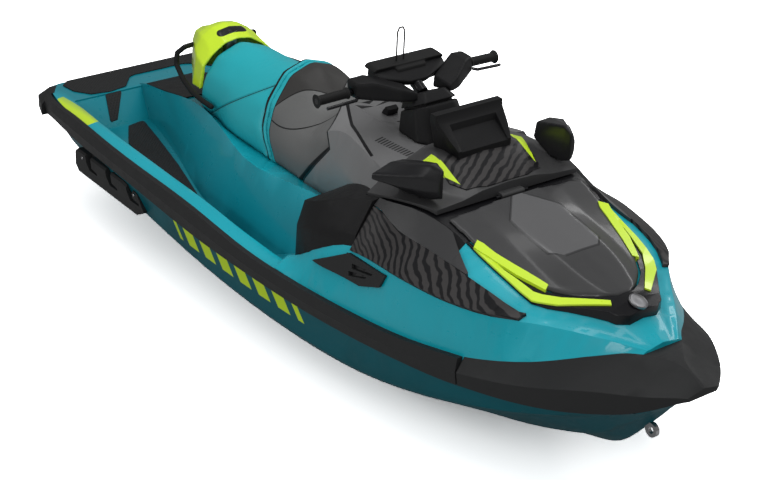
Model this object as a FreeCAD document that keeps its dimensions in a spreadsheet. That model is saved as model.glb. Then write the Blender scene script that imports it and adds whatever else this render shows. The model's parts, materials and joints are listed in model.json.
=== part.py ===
import FreeCAD, Part
import math
import os

from FreeCAD import Placement, Rotation, Vector

# A three-seat personal watercraft. Lengths are in millimetres, with X to the bow, Y to port and
# Z up. The pieces are drawn from the stern's foot on the keel line, and each one's Placement
# carries it to the datum, which lies on the centreline at the waterline.

SIZES = (
    # Hull and deck
    ("hull_length", 3450), ("half_beam", 628), ("moulded_depth", 500), ("bond_height", 425),
    ("datum_ahead", 1450), ("waterline_height", 240), ("rail_thickness", 30), ("rail_lip", 8),
    ("gunwale_width", 90), ("gunwale_step", 6), ("floor_height", 355), ("tray_thickness", 14),
    ("tray_wall", 16), ("cut_overrun", 30), ("seam_gap", 0.3), ("running_gap", 6), ("skin", 12),
    ("rib_count", 28), ("mat_thickness", 6), ("mat_corner_radius", 14),
    ("bumper_corner_radius", 45), ("bumper_bevel", 42),
    # Engine and jet drive
    ("engine_length", 620), ("engine_width", 360), ("engine_height", 340), ("engine_start", 1250),
    ("engine_floor", 105), ("bay_clearance", 20), ("pump_height", 150), ("shaft_radius", 14),
    ("shaft_bore_radius", 20), ("pump_start", 230), ("pump_length", 200), ("pump_radius", 85),
    ("pump_bore_radius", 79), ("flange_reach", 130), ("flange_thickness", 12),
    ("impeller_start", 310), ("impeller_length", 70), ("impeller_radius", 73),
    ("impeller_hub_radius", 30), ("blade_thickness", 6), ("blade_length", 48), ("blade_count", 4),
    ("tunnel_radius", 92), ("tunnel_half_width", 175), ("tunnel_top", 350), ("well_length", 280),
    ("vane_count", 5), ("vane_thickness", 6), ("stator_length", 60), ("vane_inset", 2),
    ("nozzle_pivot", 190), ("nozzle_length", 114), ("nozzle_mouth_radius", 44),
    ("nozzle_root_radius", 66), ("nozzle_root_reach", 10), ("nozzle_wall", 6), ("pin_radius", 7),
    ("lug_radius", 16), ("lug_thickness", 10), ("lug_height", 80), ("bucket_arm_inner", 104),
    ("bucket_plate", 8), ("bucket_radius", 165), ("ride_plate_length", 300),
    ("ride_plate_start", 170), ("ride_plate_thickness", 10), ("ride_plate_height", 30),
    ("intake_start", 480), ("intake_length", 420), ("intake_half_width", 85),
    ("grate_bar_width", 10), ("grate_bar_count", 4), ("grate_height", 20), ("grate_depth", 12),
    # Seats, console and lids
    ("strap_rise", 6), ("lid_gap", 6), ("lid_rise", 7), ("hinge_radius", 5), ("hinge_half_width", 28),
    ("hinge_end_width", 20), ("glove_half_width", 95), ("lid_thickness", 14), ("hood_gap", 8),
    ("panel_rise", 4), ("hood_hinge_half_width", 50), ("hood_hinge_height", 29),
    ("hood_hinge_wall", 5), ("latch_half_width", 24),
    # Tow pylon
    ("post_radius", 30), ("pylon_travel", 260), ("post_foot", 260), ("post_overlap", 60),
    ("notch_reach", 52), ("notch_half_width", 34), ("notch_depth", 110), ("tow_pin_radius", 11),
    ("tow_head_radius", 21),
    ("tow_pin_height", 36), ("tow_head_height", 9), ("grab_radius", 12),
    # Steering
    ("column_tilt", 25), ("steering_bore_radius", 16.3), ("steering_pin_radius", 16),
    ("steering_pin_depth", 80), ("steering_bore_depth", 95), ("column_rise", 42),
    ("bar_radius", 11), ("grip_radius", 17.5), ("grip_flare", 8), ("grip_length", 128),
    ("lever_radius", 6), ("clamp_radius", 34), ("loop_wire_radius", 3), ("loop_height", 128),
    ("loop_half_width", 16),
    # Mirrors and eyes
    ("mirror_foot_radius", 20),
    ("eye_bore_radius", 12.5), ("eye_radius", 26), ("eye_thickness", 16), ("stern_eye_ahead", 56),
    ("stern_eye_side", 300), ("stern_eye_height", 300),
)

document = FreeCAD.newDocument("PersonalWatercraft")
sheet = document.addObject("Spreadsheet::Sheet", "Sizes")
for row, (name, value) in enumerate(SIZES, start=1):
    sheet.set("A%d" % row, name)
    sheet.set("B%d" % row, str(value))
    sheet.setAlias("B%d" % row, name)
document.recompute()


class Size:
    """The sheet's sizes as plain numbers."""


size = Size()
for name, value in SIZES:
    setattr(size, name, float(sheet.get(name)))

PARTS = []
AHEAD, PORT, UP = Vector(1, 0, 0), Vector(0, 1, 0), Vector(0, 0, 1)


def keep(feature, label, x=0.0, y=0.0, z=0.0, turn=None):
    """Name a sub-part and carry it from the stern's foot to the datum."""
    feature.Label = label
    base = Vector(x - size.datum_ahead, y, z - size.waterline_height)
    feature.Placement = Placement(base, turn or Rotation())
    PARTS.append(feature)
    return feature


def free_form(label, shape):
    """Keep a shape that no sketch or primitive fits."""
    feature = document.addObject("Part::Feature", label)
    feature.Shape = shape
    return keep(feature, label)


# Smooth lines through hand-chosen places

def follow(places, values):
    """Return a curve through the values that never swings past them."""
    steps = [(b - a) / (q - p) for p, q, a, b in zip(places, places[1:], values, values[1:])]
    slopes = [steps[0]]
    slopes += [0.0 if a * b <= 0 else 2 * a * b / (a + b) for a, b in zip(steps, steps[1:])]
    slopes.append(steps[-1])

    def curve(place):
        place = min(max(place, places[0]), places[-1])
        index = max(i for i, start in enumerate(places[:-1]) if start <= place)
        span = places[index + 1] - places[index]
        t = (place - places[index]) / span
        rise = t * t * (3 - 2 * t)
        bend = slopes[index] * t * (1 - t) ** 2 - slopes[index + 1] * t * t * (1 - t)
        return values[index] * (1 - rise) + values[index + 1] * rise + bend * span

    return curve


def line(shares, scale):
    """Return a line along the hull from pairs of shares of its length and of a scale."""
    places = [place * size.hull_length for place, _ in shares]
    return follow(places, [value * scale for _, value in shares])


def along(shares):
    """Turn shares of the hull's length into places."""
    return [share * size.hull_length for share in shares]


def spot(shares):
    """Turn shares of the length, the half beam and the moulded depth into a point."""
    ahead, side, height = shares
    return Vector(ahead * size.hull_length, side * size.half_beam, height * size.moulded_depth)


def whole(half):
    """Close a half outline, from centre foot to centre top, across the centreline."""
    return half + [(-y, z) for y, z in reversed(half) if y > 0]


def loft(stations, section, ruled=False):
    """Loft closed outlines across the hull, each with as many corners."""
    outlines = []
    for x in stations:
        corners = [Vector(x, y, z) for y, z in section(x)]
        outlines.append(Part.makePolygon(corners + corners[:1]))
    return Part.makeLoft(outlines, True, ruled)


def table_loft(table, ruled=False, grow=0.0, centred=True):
    """Loft the half outlines of a table of shares, each row headed by its place."""
    rows = {}
    for place, *corners in table:
        half = [(y * size.half_beam + (grow if y else 0.0), z * size.moulded_depth + grow)
                for y, z in corners]
        rows[place * size.hull_length] = whole(half) if centred else half
    return loft(sorted(rows), rows.get, ruled)


def mirrored(shape):
    """Return the shape's twin on the other side of the centreline."""
    return shape.mirror(Vector(0, 0, 0), PORT)


def both(shape):
    """Return a port shape with its starboard twin."""
    return Part.makeCompound([shape, mirrored(shape)])


def main_piece(shape):
    """Return the largest solid that a cut has left."""
    return max(shape.Solids, key=lambda solid: solid.Volume)


def box(x0, x1, y0, y1, z0, z1):
    """Return a plain block between six faces."""
    return Part.makeBox(x1 - x0, y1 - y0, z1 - z0, Vector(x0, y0, z0))


def rod(start, end, radius):
    """Return a round bar between two points."""
    return Part.makeCylinder(radius, (end - start).Length, start, end - start)


def hose(points, radius):
    """Return a round bar with round bends through the points."""
    shape = rod(points[0], points[1], radius)
    for start, end in zip(points[1:], points[2:]):
        shape = shape.fuse(Part.makeSphere(radius, start)).fuse(rod(start, end, radius))
    return shape


def plate(points, start, end):
    """Return a plate across the hull from an outline seen from starboard."""
    corners = [Vector(x, start, z) for x, z in points]
    face = Part.Face(Part.makePolygon(corners + corners[:1]))
    return face.extrude(Vector(0, end - start, 0))


def profile(shares):
    """Turn pairs of shares of the length and the moulded depth into an outline."""
    return [(x * size.hull_length, z * size.moulded_depth) for x, z in shares]


def tile(shares, foot, top, radius=0.0):
    """Return an upright block from an outline in shares of the length and the half beam."""
    corners = [Vector(x * size.hull_length, y * size.half_beam, foot) for x, y in shares]
    block = Part.Face(Part.makePolygon(corners + corners[:1])).extrude(Vector(0, 0, top - foot))
    if radius:
        upright = [edge for edge in block.Edges if abs(edge.Vertexes[0].Z - edge.Vertexes[-1].Z) > 1]
        block = block.makeFillet(radius, upright)
    return block


def raised(shape, rise):
    """Return the shape moved up."""
    copy = shape.copy()
    copy.translate(Vector(0, 0, rise))
    return copy


# Lines of the hull and deck, as shares of the length and of the half beam or moulded depth
PLAN_SHARES = ((0, 0.80), (0.03, 0.88), (0.145, 0.955), (0.29, 0.995), (0.435, 1.0),
               (0.58, 0.971), (0.696, 0.90), (0.783, 0.804), (0.841, 0.70), (0.899, 0.55),
               (0.942, 0.39), (0.971, 0.255), (0.991, 0.13), (1.0, 0.06))
NOSE_INSET_SHARES = ((0, 0), (0.80, 0), (0.84, 0.02), (0.87, 0.05), (0.9, 0.125), (0.936, 0.222),
                     (1.0, 0.235))
RAIL_TOP_SHARES = ((0, 0.92), (0.16, 0.954), (0.32, 0.954), (0.435, 0.93), (0.5, 0.885),
                   (0.63, 0.88), (0.72, 0.895), (0.81, 0.944), (0.87, 1.04), (0.936, 1.164),
                   (0.97, 1.12), (1.0, 1.03))
RAIL_FOOT_SHARES = ((0, 0.74), (0.12, 0.775), (0.25, 0.78), (0.4, 0.735), (0.6, 0.722),
                    (0.75, 0.73), (0.87, 0.762), (0.92, 0.804), (0.955, 0.86), (0.977, 0.93),
                    (0.99, 0.985), (1.0, 1.0))
KEEL_SHARES = ((0, 0), (0.55, 0), (0.64, 0.008), (0.7, 0.025), (0.76, 0.06), (0.82, 0.125),
               (0.87, 0.22), (0.9, 0.31), (0.925, 0.49), (0.95, 0.71), (0.958, 0.80))
CHINE_WIDTH_SHARES = ((0, 0.66), (0.1, 0.77), (0.25, 0.845), (0.45, 0.86), (0.6, 0.81),
                      (0.7, 0.745), (0.8, 0.62), (0.87, 0.47), (0.92, 0.31), (0.958, 0.18))
CHINE_HEIGHT_SHARES = ((0, 0.54), (0.1, 0.52), (0.25, 0.47), (0.35, 0.41), (0.5, 0.33), (0.62, 0.33),
                       (0.7, 0.37), (0.8, 0.49), (0.87, 0.61), (0.92, 0.72), (0.958, 0.82))
HULL_STATION_SHARES = (0, 0.1, 0.25, 0.4, 0.55, 0.64, 0.7, 0.76, 0.82, 0.87, 0.9, 0.925, 0.945,
                       0.958)
STRAKE_SHARES = (0.42, 0.50, 0.4)
RAKE_SHARES = ((-0.05, 0.86), (0.006, 0.86), (0.062, -0.1), (-0.05, -0.1))
plan = line(PLAN_SHARES, size.half_beam)
nose_inset = line(NOSE_INSET_SHARES, size.half_beam)
rail_top = line(RAIL_TOP_SHARES, size.moulded_depth)
rail_foot = line(RAIL_FOOT_SHARES, size.moulded_depth)
keel = line(KEEL_SHARES, size.moulded_depth)
chine_width = line(CHINE_WIDTH_SHARES, size.half_beam)
chine_height = line(CHINE_HEIGHT_SHARES, size.moulded_depth)


def deck_edge(x):
    """Return the half width of the deck, which draws in behind the bow bumper."""
    return plan(x) - size.rail_thickness - nose_inset(x)


# Hull shell: a deep vee with a strake and a hard chine each side, open for engine, pump and intake
CHINE_FLARE_SHARE, CHINE_RISE_SHARE = 0.3, 0.1


def hull_section(x):
    foot, width, height = keel(x), chine_width(x), chine_height(x)
    side = plan(x) - size.rail_thickness
    near, far, lift = STRAKE_SHARES
    ledge = foot + lift * (height - foot)
    return whole([(0, foot), (near * width, ledge), (far * width, ledge), (width, height),
                  (width + CHINE_FLARE_SHARE * (side - width),
                   height + CHINE_RISE_SHARE * (size.bond_height - height)),
                  (side, size.bond_height), (0, size.bond_height)])


TRAY_STATION_SHARES = (0.055, 0.2, 0.35, 0.45, 0.5826)
TRAY_SIDE_SHARE = 0.2


def tray_section(x):
    """Return the room between the hull's sides that the deck's footwells drop into."""
    foot = size.floor_height - size.tray_thickness
    slope = plan(x) - size.rail_thickness - chine_width(x)
    side = chine_width(x) + TRAY_SIDE_SHARE * slope - size.tray_wall
    return whole([(0, foot), (side, foot), (side + size.tray_wall / 2, size.bond_height),
                  (0, size.bond_height)])


PYLON_SHARES = (0.2029, 0, 1.12)
pylon_foot = spot(PYLON_SHARES)
sleeve_foot = size.post_foot - size.running_gap
sleeve = Part.makeCylinder(size.post_radius + size.seam_gap,
                           pylon_foot.z + 3 * size.cut_overrun - sleeve_foot,
                           Vector(pylon_foot.x, 0, sleeve_foot))

bare_hull = loft(along(HULL_STATION_SHARES), hull_section)
bare_hull = bare_hull.cut(plate(profile(RAKE_SHARES), -size.half_beam, size.half_beam))
tray = loft(along(TRAY_STATION_SHARES), tray_section)
bay_half_width = size.engine_width / 2 + size.bay_clearance
bay_start = size.engine_start - size.bay_clearance
bay_end = size.engine_start + size.engine_length + size.bay_clearance
pump_end = size.pump_start + size.pump_length
intake_end = size.intake_start + size.intake_length
pump_axis = Vector(0, 0, size.pump_height)
hull = bare_hull.cut(tray)
hull = hull.cut(box(bay_start, bay_end, -bay_half_width, bay_half_width, size.engine_floor,
                    size.bond_height))
hull = hull.cut(box(-size.cut_overrun, size.well_length, -size.tunnel_half_width,
                    size.tunnel_half_width, -size.cut_overrun, size.tunnel_top))
hull = hull.cut(Part.makeCylinder(size.tunnel_radius, pump_end - size.well_length + size.skin,
                                  pump_axis + AHEAD * size.well_length, AHEAD))
hull = hull.cut(Part.makeCylinder(size.shaft_bore_radius, size.engine_start - size.pump_start,
                                  pump_axis + AHEAD * size.pump_start, AHEAD))
hull = hull.cut(box(-size.cut_overrun, size.ride_plate_start + size.ride_plate_length,
                    -size.tunnel_half_width, size.tunnel_half_width, -size.cut_overrun,
                    size.ride_plate_height + size.ride_plate_thickness))
INTAKE_SHARES = (0.8, 0.75, 0.7)
roof_aft, roof_fore, mouth = (share * size.tunnel_radius for share in INTAKE_SHARES)
intake = plate([(pump_end - size.skin, size.pump_height + roof_aft),
                (size.intake_start, size.pump_height + roof_fore),
                (intake_end, -size.cut_overrun), (size.intake_start, -size.cut_overrun),
                (pump_end, size.pump_height - mouth)],
               -size.intake_half_width, size.intake_half_width)
hull = hull.cut(intake).cut(sleeve)
free_form("hull_shell", hull)


# Deck moulding: gunwales, footwells, stern platform, pedestal and foredeck in one piece
BASE_STATION_SHARES = (0.006, 0.1, 0.2, 0.32, 0.435, 0.5, 0.585)
PEDESTAL_STATION_SHARES = (0.06, 0.075, 0.1, 0.145, 0.19, 0.235, 0.335, 0.41, 0.5, 0.56, 0.58)
PEDESTAL_FOOT_SHARES = ((0.06, 0.26), (0.1, 0.29), (0.225, 0.47), (0.32, 0.64), (0.4, 0.69),
                        (0.5, 0.70), (0.61, 0.72))
RIDGE_WIDTH_SHARES = ((0.06, 0.24), (0.145, 0.31), (0.235, 0.35), (0.335, 0.48), (0.41, 0.57),
                      (0.5, 0.52), (0.61, 0.50))
RIDGE_HEIGHT_SHARES = ((0.06, 0.93), (0.08, 0.98), (0.145, 1.08), (0.235, 1.19), (0.41, 1.2),
                       (0.5, 1.22), (0.61, 1.3))
SHELF_WIDTH_SHARES = ((0.06, 0.215), (0.145, 0.285), (0.235, 0.33), (0.41, 0.36), (0.61, 0.4))
SHELF_HEIGHT_SHARES = ((0.06, 0.915), (0.145, 1.05), (0.19, 1.12), (0.61, 1.14))
pedestal_foot = line(PEDESTAL_FOOT_SHARES, size.half_beam)
ridge_width = line(RIDGE_WIDTH_SHARES, size.half_beam)
ridge_height = line(RIDGE_HEIGHT_SHARES, size.moulded_depth)
shelf_width = line(SHELF_WIDTH_SHARES, size.half_beam)
shelf_height = line(SHELF_HEIGHT_SHARES, size.moulded_depth)
FOREDECK_END_SHARES = (0.55, 0.938)
SHOULDER_WIDTH_SHARES = ((0.55, 0.78), (0.61, 0.84), (0.652, 0.80), (0.71, 0.81), (0.768, 0.765),
                         (0.82, 0.66), (0.843, 0.55), (0.87, 0.42), (0.9, 0.29), (0.938, 0.11))
SHOULDER_HEIGHT_SHARES = ((0.55, 1.0), (0.61, 1.16), (0.652, 1.27), (0.71, 1.3), (0.768, 1.284),
                          (0.82, 1.27), (0.87, 1.25), (0.9, 1.23), (0.938, 1.18))
MIDDLE_WIDTH_SHARES = ((0.55, 0.63), (0.61, 0.70), (0.652, 0.645), (0.69, 0.64), (0.73, 0.613),
                       (0.775, 0.59), (0.82, 0.55), (0.843, 0.50), (0.87, 0.36), (0.9, 0.23),
                       (0.938, 0.09))
MIDDLE_HEIGHT_SHARES = ((0.55, 1.14), (0.61, 1.34), (0.652, 1.56), (0.69, 1.47), (0.73, 1.44),
                        (0.775, 1.40), (0.82, 1.34), (0.843, 1.28), (0.87, 1.27), (0.9, 1.24),
                        (0.938, 1.18))
COWL_WIDTH_SHARES = ((0.55, 0.46), (0.61, 0.57), (0.652, 0.61), (0.69, 0.55), (0.73, 0.50),
                     (0.775, 0.475), (0.82, 0.455), (0.843, 0.43), (0.87, 0.31), (0.9, 0.17),
                     (0.938, 0.05))
COWL_HEIGHT_SHARES = ((0.55, 1.3), (0.61, 1.48), (0.652, 1.60), (0.69, 1.62), (0.73, 1.58),
                      (0.775, 1.47), (0.82, 1.38), (0.843, 1.325), (0.87, 1.31), (0.9, 1.28),
                      (0.938, 1.19))
CREST_SHARES = ((0.55, 1.5), (0.61, 1.62), (0.652, 1.67), (0.69, 1.64), (0.73, 1.58),
                (0.775, 1.51), (0.82, 1.46), (0.843, 1.42), (0.87, 1.37), (0.9, 1.31),
                (0.938, 1.2))
shoulder_width = line(SHOULDER_WIDTH_SHARES, size.half_beam)
shoulder_height = line(SHOULDER_HEIGHT_SHARES, size.moulded_depth)
middle_width = line(MIDDLE_WIDTH_SHARES, size.half_beam)
middle_height = line(MIDDLE_HEIGHT_SHARES, size.moulded_depth)
cowl_width = line(COWL_WIDTH_SHARES, size.half_beam)
cowl_height = line(COWL_HEIGHT_SHARES, size.moulded_depth)
crest = line(CREST_SHARES, size.moulded_depth)


def base_section(x):
    side, top = plan(x) - size.rail_thickness, rail_top(x)
    return whole([(0, size.bond_height), (side, size.bond_height), (side, top - size.gunwale_step),
                  (side - size.gunwale_width / 2, top), (0, top)])


def pedestal_section(x):
    foot = size.floor_height - size.tray_thickness / 2
    return whole([(0, foot), (pedestal_foot(x), foot), (ridge_width(x), ridge_height(x)),
                  (shelf_width(x), shelf_height(x)), (0, shelf_height(x))])


def foredeck_loft(section):
    """Loft outlines along the foredeck at close, even ribs, so that skins lie true on it."""
    start, end = along(FOREDECK_END_SHARES)
    count = int(size.rib_count)
    ribs = [start + (end - start) * index / count for index in range(count + 1)]
    return loft(ribs, section, True)


def foredeck_section(x):
    return whole([(0, size.bond_height), (deck_edge(x), size.bond_height),
                  (deck_edge(x), rail_top(x)), (shoulder_width(x), shoulder_height(x)),
                  (middle_width(x), middle_height(x)), (cowl_width(x), cowl_height(x)),
                  (0, crest(x))])


def well_section(x):
    """Return the room over the footwells, inside the gunwales."""
    edge = plan(x) - size.gunwale_width
    low = edge - size.gunwale_width
    return whole([(0, size.floor_height), (low, size.floor_height), (edge, rail_top(x)),
                  (edge, 2 * size.bond_height), (0, 2 * size.bond_height)])


WELL_STATION_SHARES = (0.05, 0.2, 0.35, 0.45, 0.59)
WELL_START_SHARE, RAMP_END_SHARE, RAMP_FORE_SHARE, WELL_END_SHARE = 0.0715, 0.1, 0.487, 0.5826
well_start, ramp_end, ramp_fore, well_end = along((WELL_START_SHARE, RAMP_END_SHARE,
                                                   RAMP_FORE_SHARE, WELL_END_SHARE))
ramp_top = rail_top(well_start) - size.gunwale_step
well_profile = [(well_start, ramp_top), (ramp_end, size.floor_height),
                (ramp_fore, size.floor_height), (well_end, size.moulded_depth),
                (well_end, 2 * size.bond_height), (well_start, 2 * size.bond_height)]
well = loft(along(WELL_STATION_SHARES), well_section)
well = well.common(plate(well_profile, -size.half_beam, size.half_beam))

HOOD_HINGE_SHARES = (0.7168, 0, 1.576)
hood_hinge = spot(HOOD_HINGE_SHARES) + UP * size.hood_hinge_height
hinge_span = size.hood_hinge_half_width + size.hinge_end_width
deck = loft(along(BASE_STATION_SHARES), base_section).fuse(tray)
deck = deck.fuse(foredeck_loft(foredeck_section))
deck = deck.cut(well)
deck = deck.fuse(loft(along(PEDESTAL_STATION_SHARES), pedestal_section))
deck = deck.cut(box(bay_start, bay_end, -bay_half_width, bay_half_width,
                    size.floor_height - size.tray_thickness - size.cut_overrun,
                    size.engine_floor + size.engine_height + size.bay_clearance))
deck = deck.cut(sleeve)
plain_deck = deck
for side in (1, -1):
    lug_inner = side * (size.hood_hinge_half_width + size.seam_gap)
    lug_outer = side * hinge_span
    deck = deck.fuse(box(hood_hinge.x - size.hinge_radius, hood_hinge.x + size.hinge_radius,
                         min(lug_inner, lug_outer), max(lug_inner, lug_outer),
                         size.moulded_depth, hood_hinge.z))
deck = deck.fuse(rod(hood_hinge - PORT * hinge_span, hood_hinge + PORT * hinge_span,
                     size.hinge_radius))
free_form("deck_body", deck)


# Rub rails along the bond line, one each side
def rail_section(x):
    out, foot, top = plan(x), rail_foot(x), rail_top(x)
    back = out - size.rail_thickness
    return [(back, foot), (out - size.rail_lip, foot), (out, (foot + top) / 2),
            (out - size.rail_lip, top), (back, top)]


RAIL_STATION_SHARES = (0.03, 0.1, 0.2, 0.3, 0.4, 0.5, 0.6, 0.7, 0.75, 0.808)
rail = loft(along(RAIL_STATION_SHARES), rail_section).cut(bare_hull).cut(deck)
free_form("rail_port", rail)
free_form("rail_starboard", mirrored(rail))


# Bow bumper: a thick crescent round the nose, with a creased ridge and a lighter top facet
RIDGE_SHARE, NOSE_EDGE_SHARE = 0.5, 0.05


def bumper_section(x):
    out, foot, top = plan(x), rail_foot(x), rail_top(x)
    return whole([(0, foot), (out - size.rail_lip, foot),
                  (out, foot + RIDGE_SHARE * (top - foot)),
                  (max(deck_edge(x), NOSE_EDGE_SHARE * out), top), (0, top)])


BUMPER_STATION_SHARES = (0.8095, 0.84, 0.87, 0.9, 0.925, 0.95, 0.97, 0.982, 0.9935)
bumper = loft(along(BUMPER_STATION_SHARES), bumper_section)
bumper = bumper.cut(bare_hull).cut(plain_deck)
free_form("bow_bumper", main_piece(bumper))

# Stern corner bumpers, rounded at their outer corners
CORNER_SHARES = ((-0.0035, 0.62), (-0.0035, 0.835), (0.0288, 0.90), (0.0288, 0.62))
corner = tile(CORNER_SHARES, rail_foot(0), rail_top(0) - size.seam_gap)
outer_edges = [edge for edge in corner.Edges
               if edge.CenterOfMass.z > rail_top(0) - size.gunwale_step
               and (edge.CenterOfMass.x < -size.seam_gap
                    or edge.CenterOfMass.y > CORNER_SHARES[1][1] * size.half_beam)]
corner = corner.makeChamfer(size.bumper_bevel, outer_edges)
rear_edge = [edge for edge in corner.Edges
             if abs(edge.Vertexes[0].Z - edge.Vertexes[-1].Z) > size.skin
             and edge.CenterOfMass.x < size.bumper_bevel
             and edge.CenterOfMass.y > CORNER_SHARES[1][1] * size.half_beam - size.bumper_bevel]
corner = corner.makeFillet(size.bumper_corner_radius / 2, rear_edge)
corner = main_piece(corner.cut(bare_hull).cut(deck).cut(rail))
free_form("stern_bumpers", both(corner))

# Mats on the platform, the ramps and the footwells
PLATFORM_SHARES = ((0.0064, -0.6369), (0.0064, 0.6369), (0.0174, 0.7006), (0.0435, 0.6943),
                   (0.0643, 0.6242), (0.0696, 0.4904), (0.0643, 0.3535),
                   (0.0377, 0.2389), (0.0342, 0.1911), (0.0342, -0.1911),
                   (0.0377, -0.2389), (0.0643, -0.3535), (0.0696, -0.4904),
                   (0.0643, -0.6242), (0.0435, -0.6943), (0.0174, -0.7006))
platform_top = rail_top(well_start) + size.mat_thickness
platform = tile(PLATFORM_SHARES, size.bond_height, platform_top, size.mat_corner_radius)
low_slab = loft(along(BASE_STATION_SHARES),
                lambda x: whole([(0, size.bond_height), (size.half_beam, size.bond_height),
                                 (size.half_beam, rail_top(x) + size.mat_thickness),
                                 (0, rail_top(x) + size.mat_thickness)]))
free_form("platform_mat", main_piece(platform.common(low_slab).cut(deck)))

FOOT_MAT_SHARES = ((0.102, 0.3424), (0.1623, 0.4172), (0.2362, 0.5175), (0.3159, 0.6449),
                   (0.3246, 0.6879), (0.2029, 0.6879), (0.1507, 0.6131),
                   (0.1078, 0.4777))
foot_mat = tile(FOOT_MAT_SHARES, size.floor_height, size.floor_height + size.mat_thickness,
                size.mat_corner_radius)
free_form("footwell_mats", both(main_piece(foot_mat.cut(deck))))
STEP_MAT_SHARES = ((0.0626, 0.4172), (0.073, 0.4172), (0.0945, 0.5175), (0.0957, 0.5764),
                   (0.0649, 0.5255))
ramp_skin = plate([(well_start, ramp_top - size.cut_overrun), (ramp_end, size.floor_height -
                   size.cut_overrun), (ramp_end, size.floor_height + size.mat_thickness),
                   (well_start, ramp_top + size.mat_thickness)], 0, size.half_beam)
step_mat = tile(STEP_MAT_SHARES, size.floor_height, size.moulded_depth, size.mat_thickness)
free_form("step_mats", both(main_piece(step_mat.common(ramp_skin).cut(deck))))
REAR_DECK_SHARES = (0.066, 0.09, 0.12, 0.15, 0.19)
rear_deck = loft(along(REAR_DECK_SHARES),
                 lambda x: whole([(0, shelf_height(x) - size.mat_thickness),
                                  (shelf_width(x) - size.rail_lip, shelf_height(x) -
                                   size.mat_thickness),
                                  (shelf_width(x) - size.rail_lip, shelf_height(x) +
                                   size.mat_thickness),
                                  (0, shelf_height(x) + size.mat_thickness)]))
free_form("rear_deck_mat", main_piece(rear_deck.cut(plain_deck)))

# Seats, parted by slanting seams
REAR_SEAT_SHARES = (
    (0.2232, (0, 1.06), (0.2739, 1.06), (0.2994, 1.18), (0.2962, 1.28), (0.2627, 1.4),
      (0.1752, 1.55), (0, 1.63)),
    (0.2354, (0, 1.06), (0.2866, 1.06), (0.3121, 1.2), (0.3025, 1.31), (0.2739, 1.424),
      (0.1783, 1.568), (0, 1.648)),
    (0.2696, (0, 1.06), (0.3025, 1.06), (0.3264, 1.2), (0.3185, 1.31), (0.2834, 1.44),
      (0.172, 1.58), (0, 1.652)),
    (0.3014, (0, 1.06), (0.3583, 1.06), (0.3742, 1.18), (0.3583, 1.31), (0.3025, 1.45),
      (0.1688, 1.592), (0, 1.66)),
    (0.3304, (0, 1.06), (0.379, 1.06), (0.3949, 1.16), (0.3822, 1.304), (0.3153, 1.47),
      (0.1656, 1.624), (0, 1.69)),
    (0.3565, (0, 1.06), (0.3822, 1.06), (0.3981, 1.15), (0.3885, 1.31), (0.3185, 1.49),
      (0.1624, 1.664), (0, 1.728)),
    (0.3768, (0, 1.06), (0.3822, 1.06), (0.3981, 1.144), (0.3885, 1.31), (0.3185, 1.5),
      (0.1624, 1.684), (0, 1.754)),
    (0.4058, (0, 1.06), (0.3822, 1.06), (0.3981, 1.14), (0.3885, 1.31), (0.3185, 1.5),
      (0.1624, 1.684), (0, 1.754)),
)
FRONT_SEAT_SHARES = (
    (0.3478, (0, 1.06), (0.3822, 1.06), (0.3981, 1.15), (0.3885, 1.31), (0.3185, 1.52),
      (0.1624, 1.724), (0, 1.788)),
    (0.3768, (0, 1.06), (0.3822, 1.06), (0.3981, 1.144), (0.3885, 1.31), (0.3185, 1.524),
      (0.1624, 1.732), (0, 1.8)),
    (0.4, (0, 1.06), (0.3822, 1.06), (0.3981, 1.14), (0.3917, 1.296), (0.3217, 1.484),
      (0.1624, 1.692), (0, 1.76)),
    (0.4203, (0, 1.06), (0.3822, 1.06), (0.4013, 1.14), (0.3933, 1.284), (0.328, 1.444),
      (0.1656, 1.604), (0, 1.648)),
    (0.4435, (0, 1.06), (0.3822, 1.06), (0.4045, 1.15), (0.3949, 1.284), (0.3312, 1.43),
      (0.1656, 1.576), (0, 1.6)),
    (0.4638, (0, 1.06), (0.3838, 1.06), (0.4076, 1.17), (0.3997, 1.3), (0.3376, 1.476),
      (0.1656, 1.66), (0, 1.676)),
    (0.487, (0, 1.06), (0.3885, 1.06), (0.4108, 1.184), (0.4045, 1.32), (0.3439, 1.53),
      (0.1656, 1.736), (0, 1.724)),
    (0.5159, (0, 1.06), (0.3949, 1.06), (0.4172, 1.21), (0.4108, 1.36), (0.3535, 1.6),
      (0.1656, 1.768), (0, 1.752)),
)
SEAM_AFT_SHARES = ((0.1739, 0.96), (0.4064, 0.96), (0.3988, 1.08), (0.3701, 1.36),
                   (0.3554, 1.8), (0.3536, 2), (0.1739, 2))
SEAM_FORE_SHARES = ((0.1739, 0.96), (0.4128, 0.96), (0.4058, 1.08), (0.3771, 1.36),
                    (0.3623, 1.8), (0.3606, 2), (0.1739, 2))
POMMEL_SHARES = ((0.3188, 0.96), (0.4522, 0.96), (0.4614, 1.17), (0.502, 1.524), (0.4655, 1.77),
                 (0.4609, 2), (0.3188, 2))
aft_side = plate(profile(SEAM_AFT_SHARES), -size.half_beam, size.half_beam)
fore_side = plate(profile(SEAM_FORE_SHARES), -size.half_beam, size.half_beam)
pommel = plate(profile(POMMEL_SHARES), -size.half_beam, size.half_beam)
SEAT_TAIL_SHARES = (
    (0.2151, (0, 1.06), (0.2229, 1.06), (0.2261, 1.18), (0.2261, 1.3), (0.2166, 1.38),
      (0.1465, 1.512), (0, 1.6)),
    (0.2319, (0, 1.06), (0.2229, 1.06), (0.2261, 1.18), (0.2261, 1.3), (0.2166, 1.38),
      (0.1465, 1.512), (0, 1.6)),
)
rear_seat = table_loft(REAR_SEAT_SHARES).fuse(table_loft(SEAT_TAIL_SHARES, True)).cut(plain_deck)
front_seat = table_loft(FRONT_SEAT_SHARES).cut(plain_deck)
free_form("seat_rear", main_piece(rear_seat.common(aft_side)))
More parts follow.
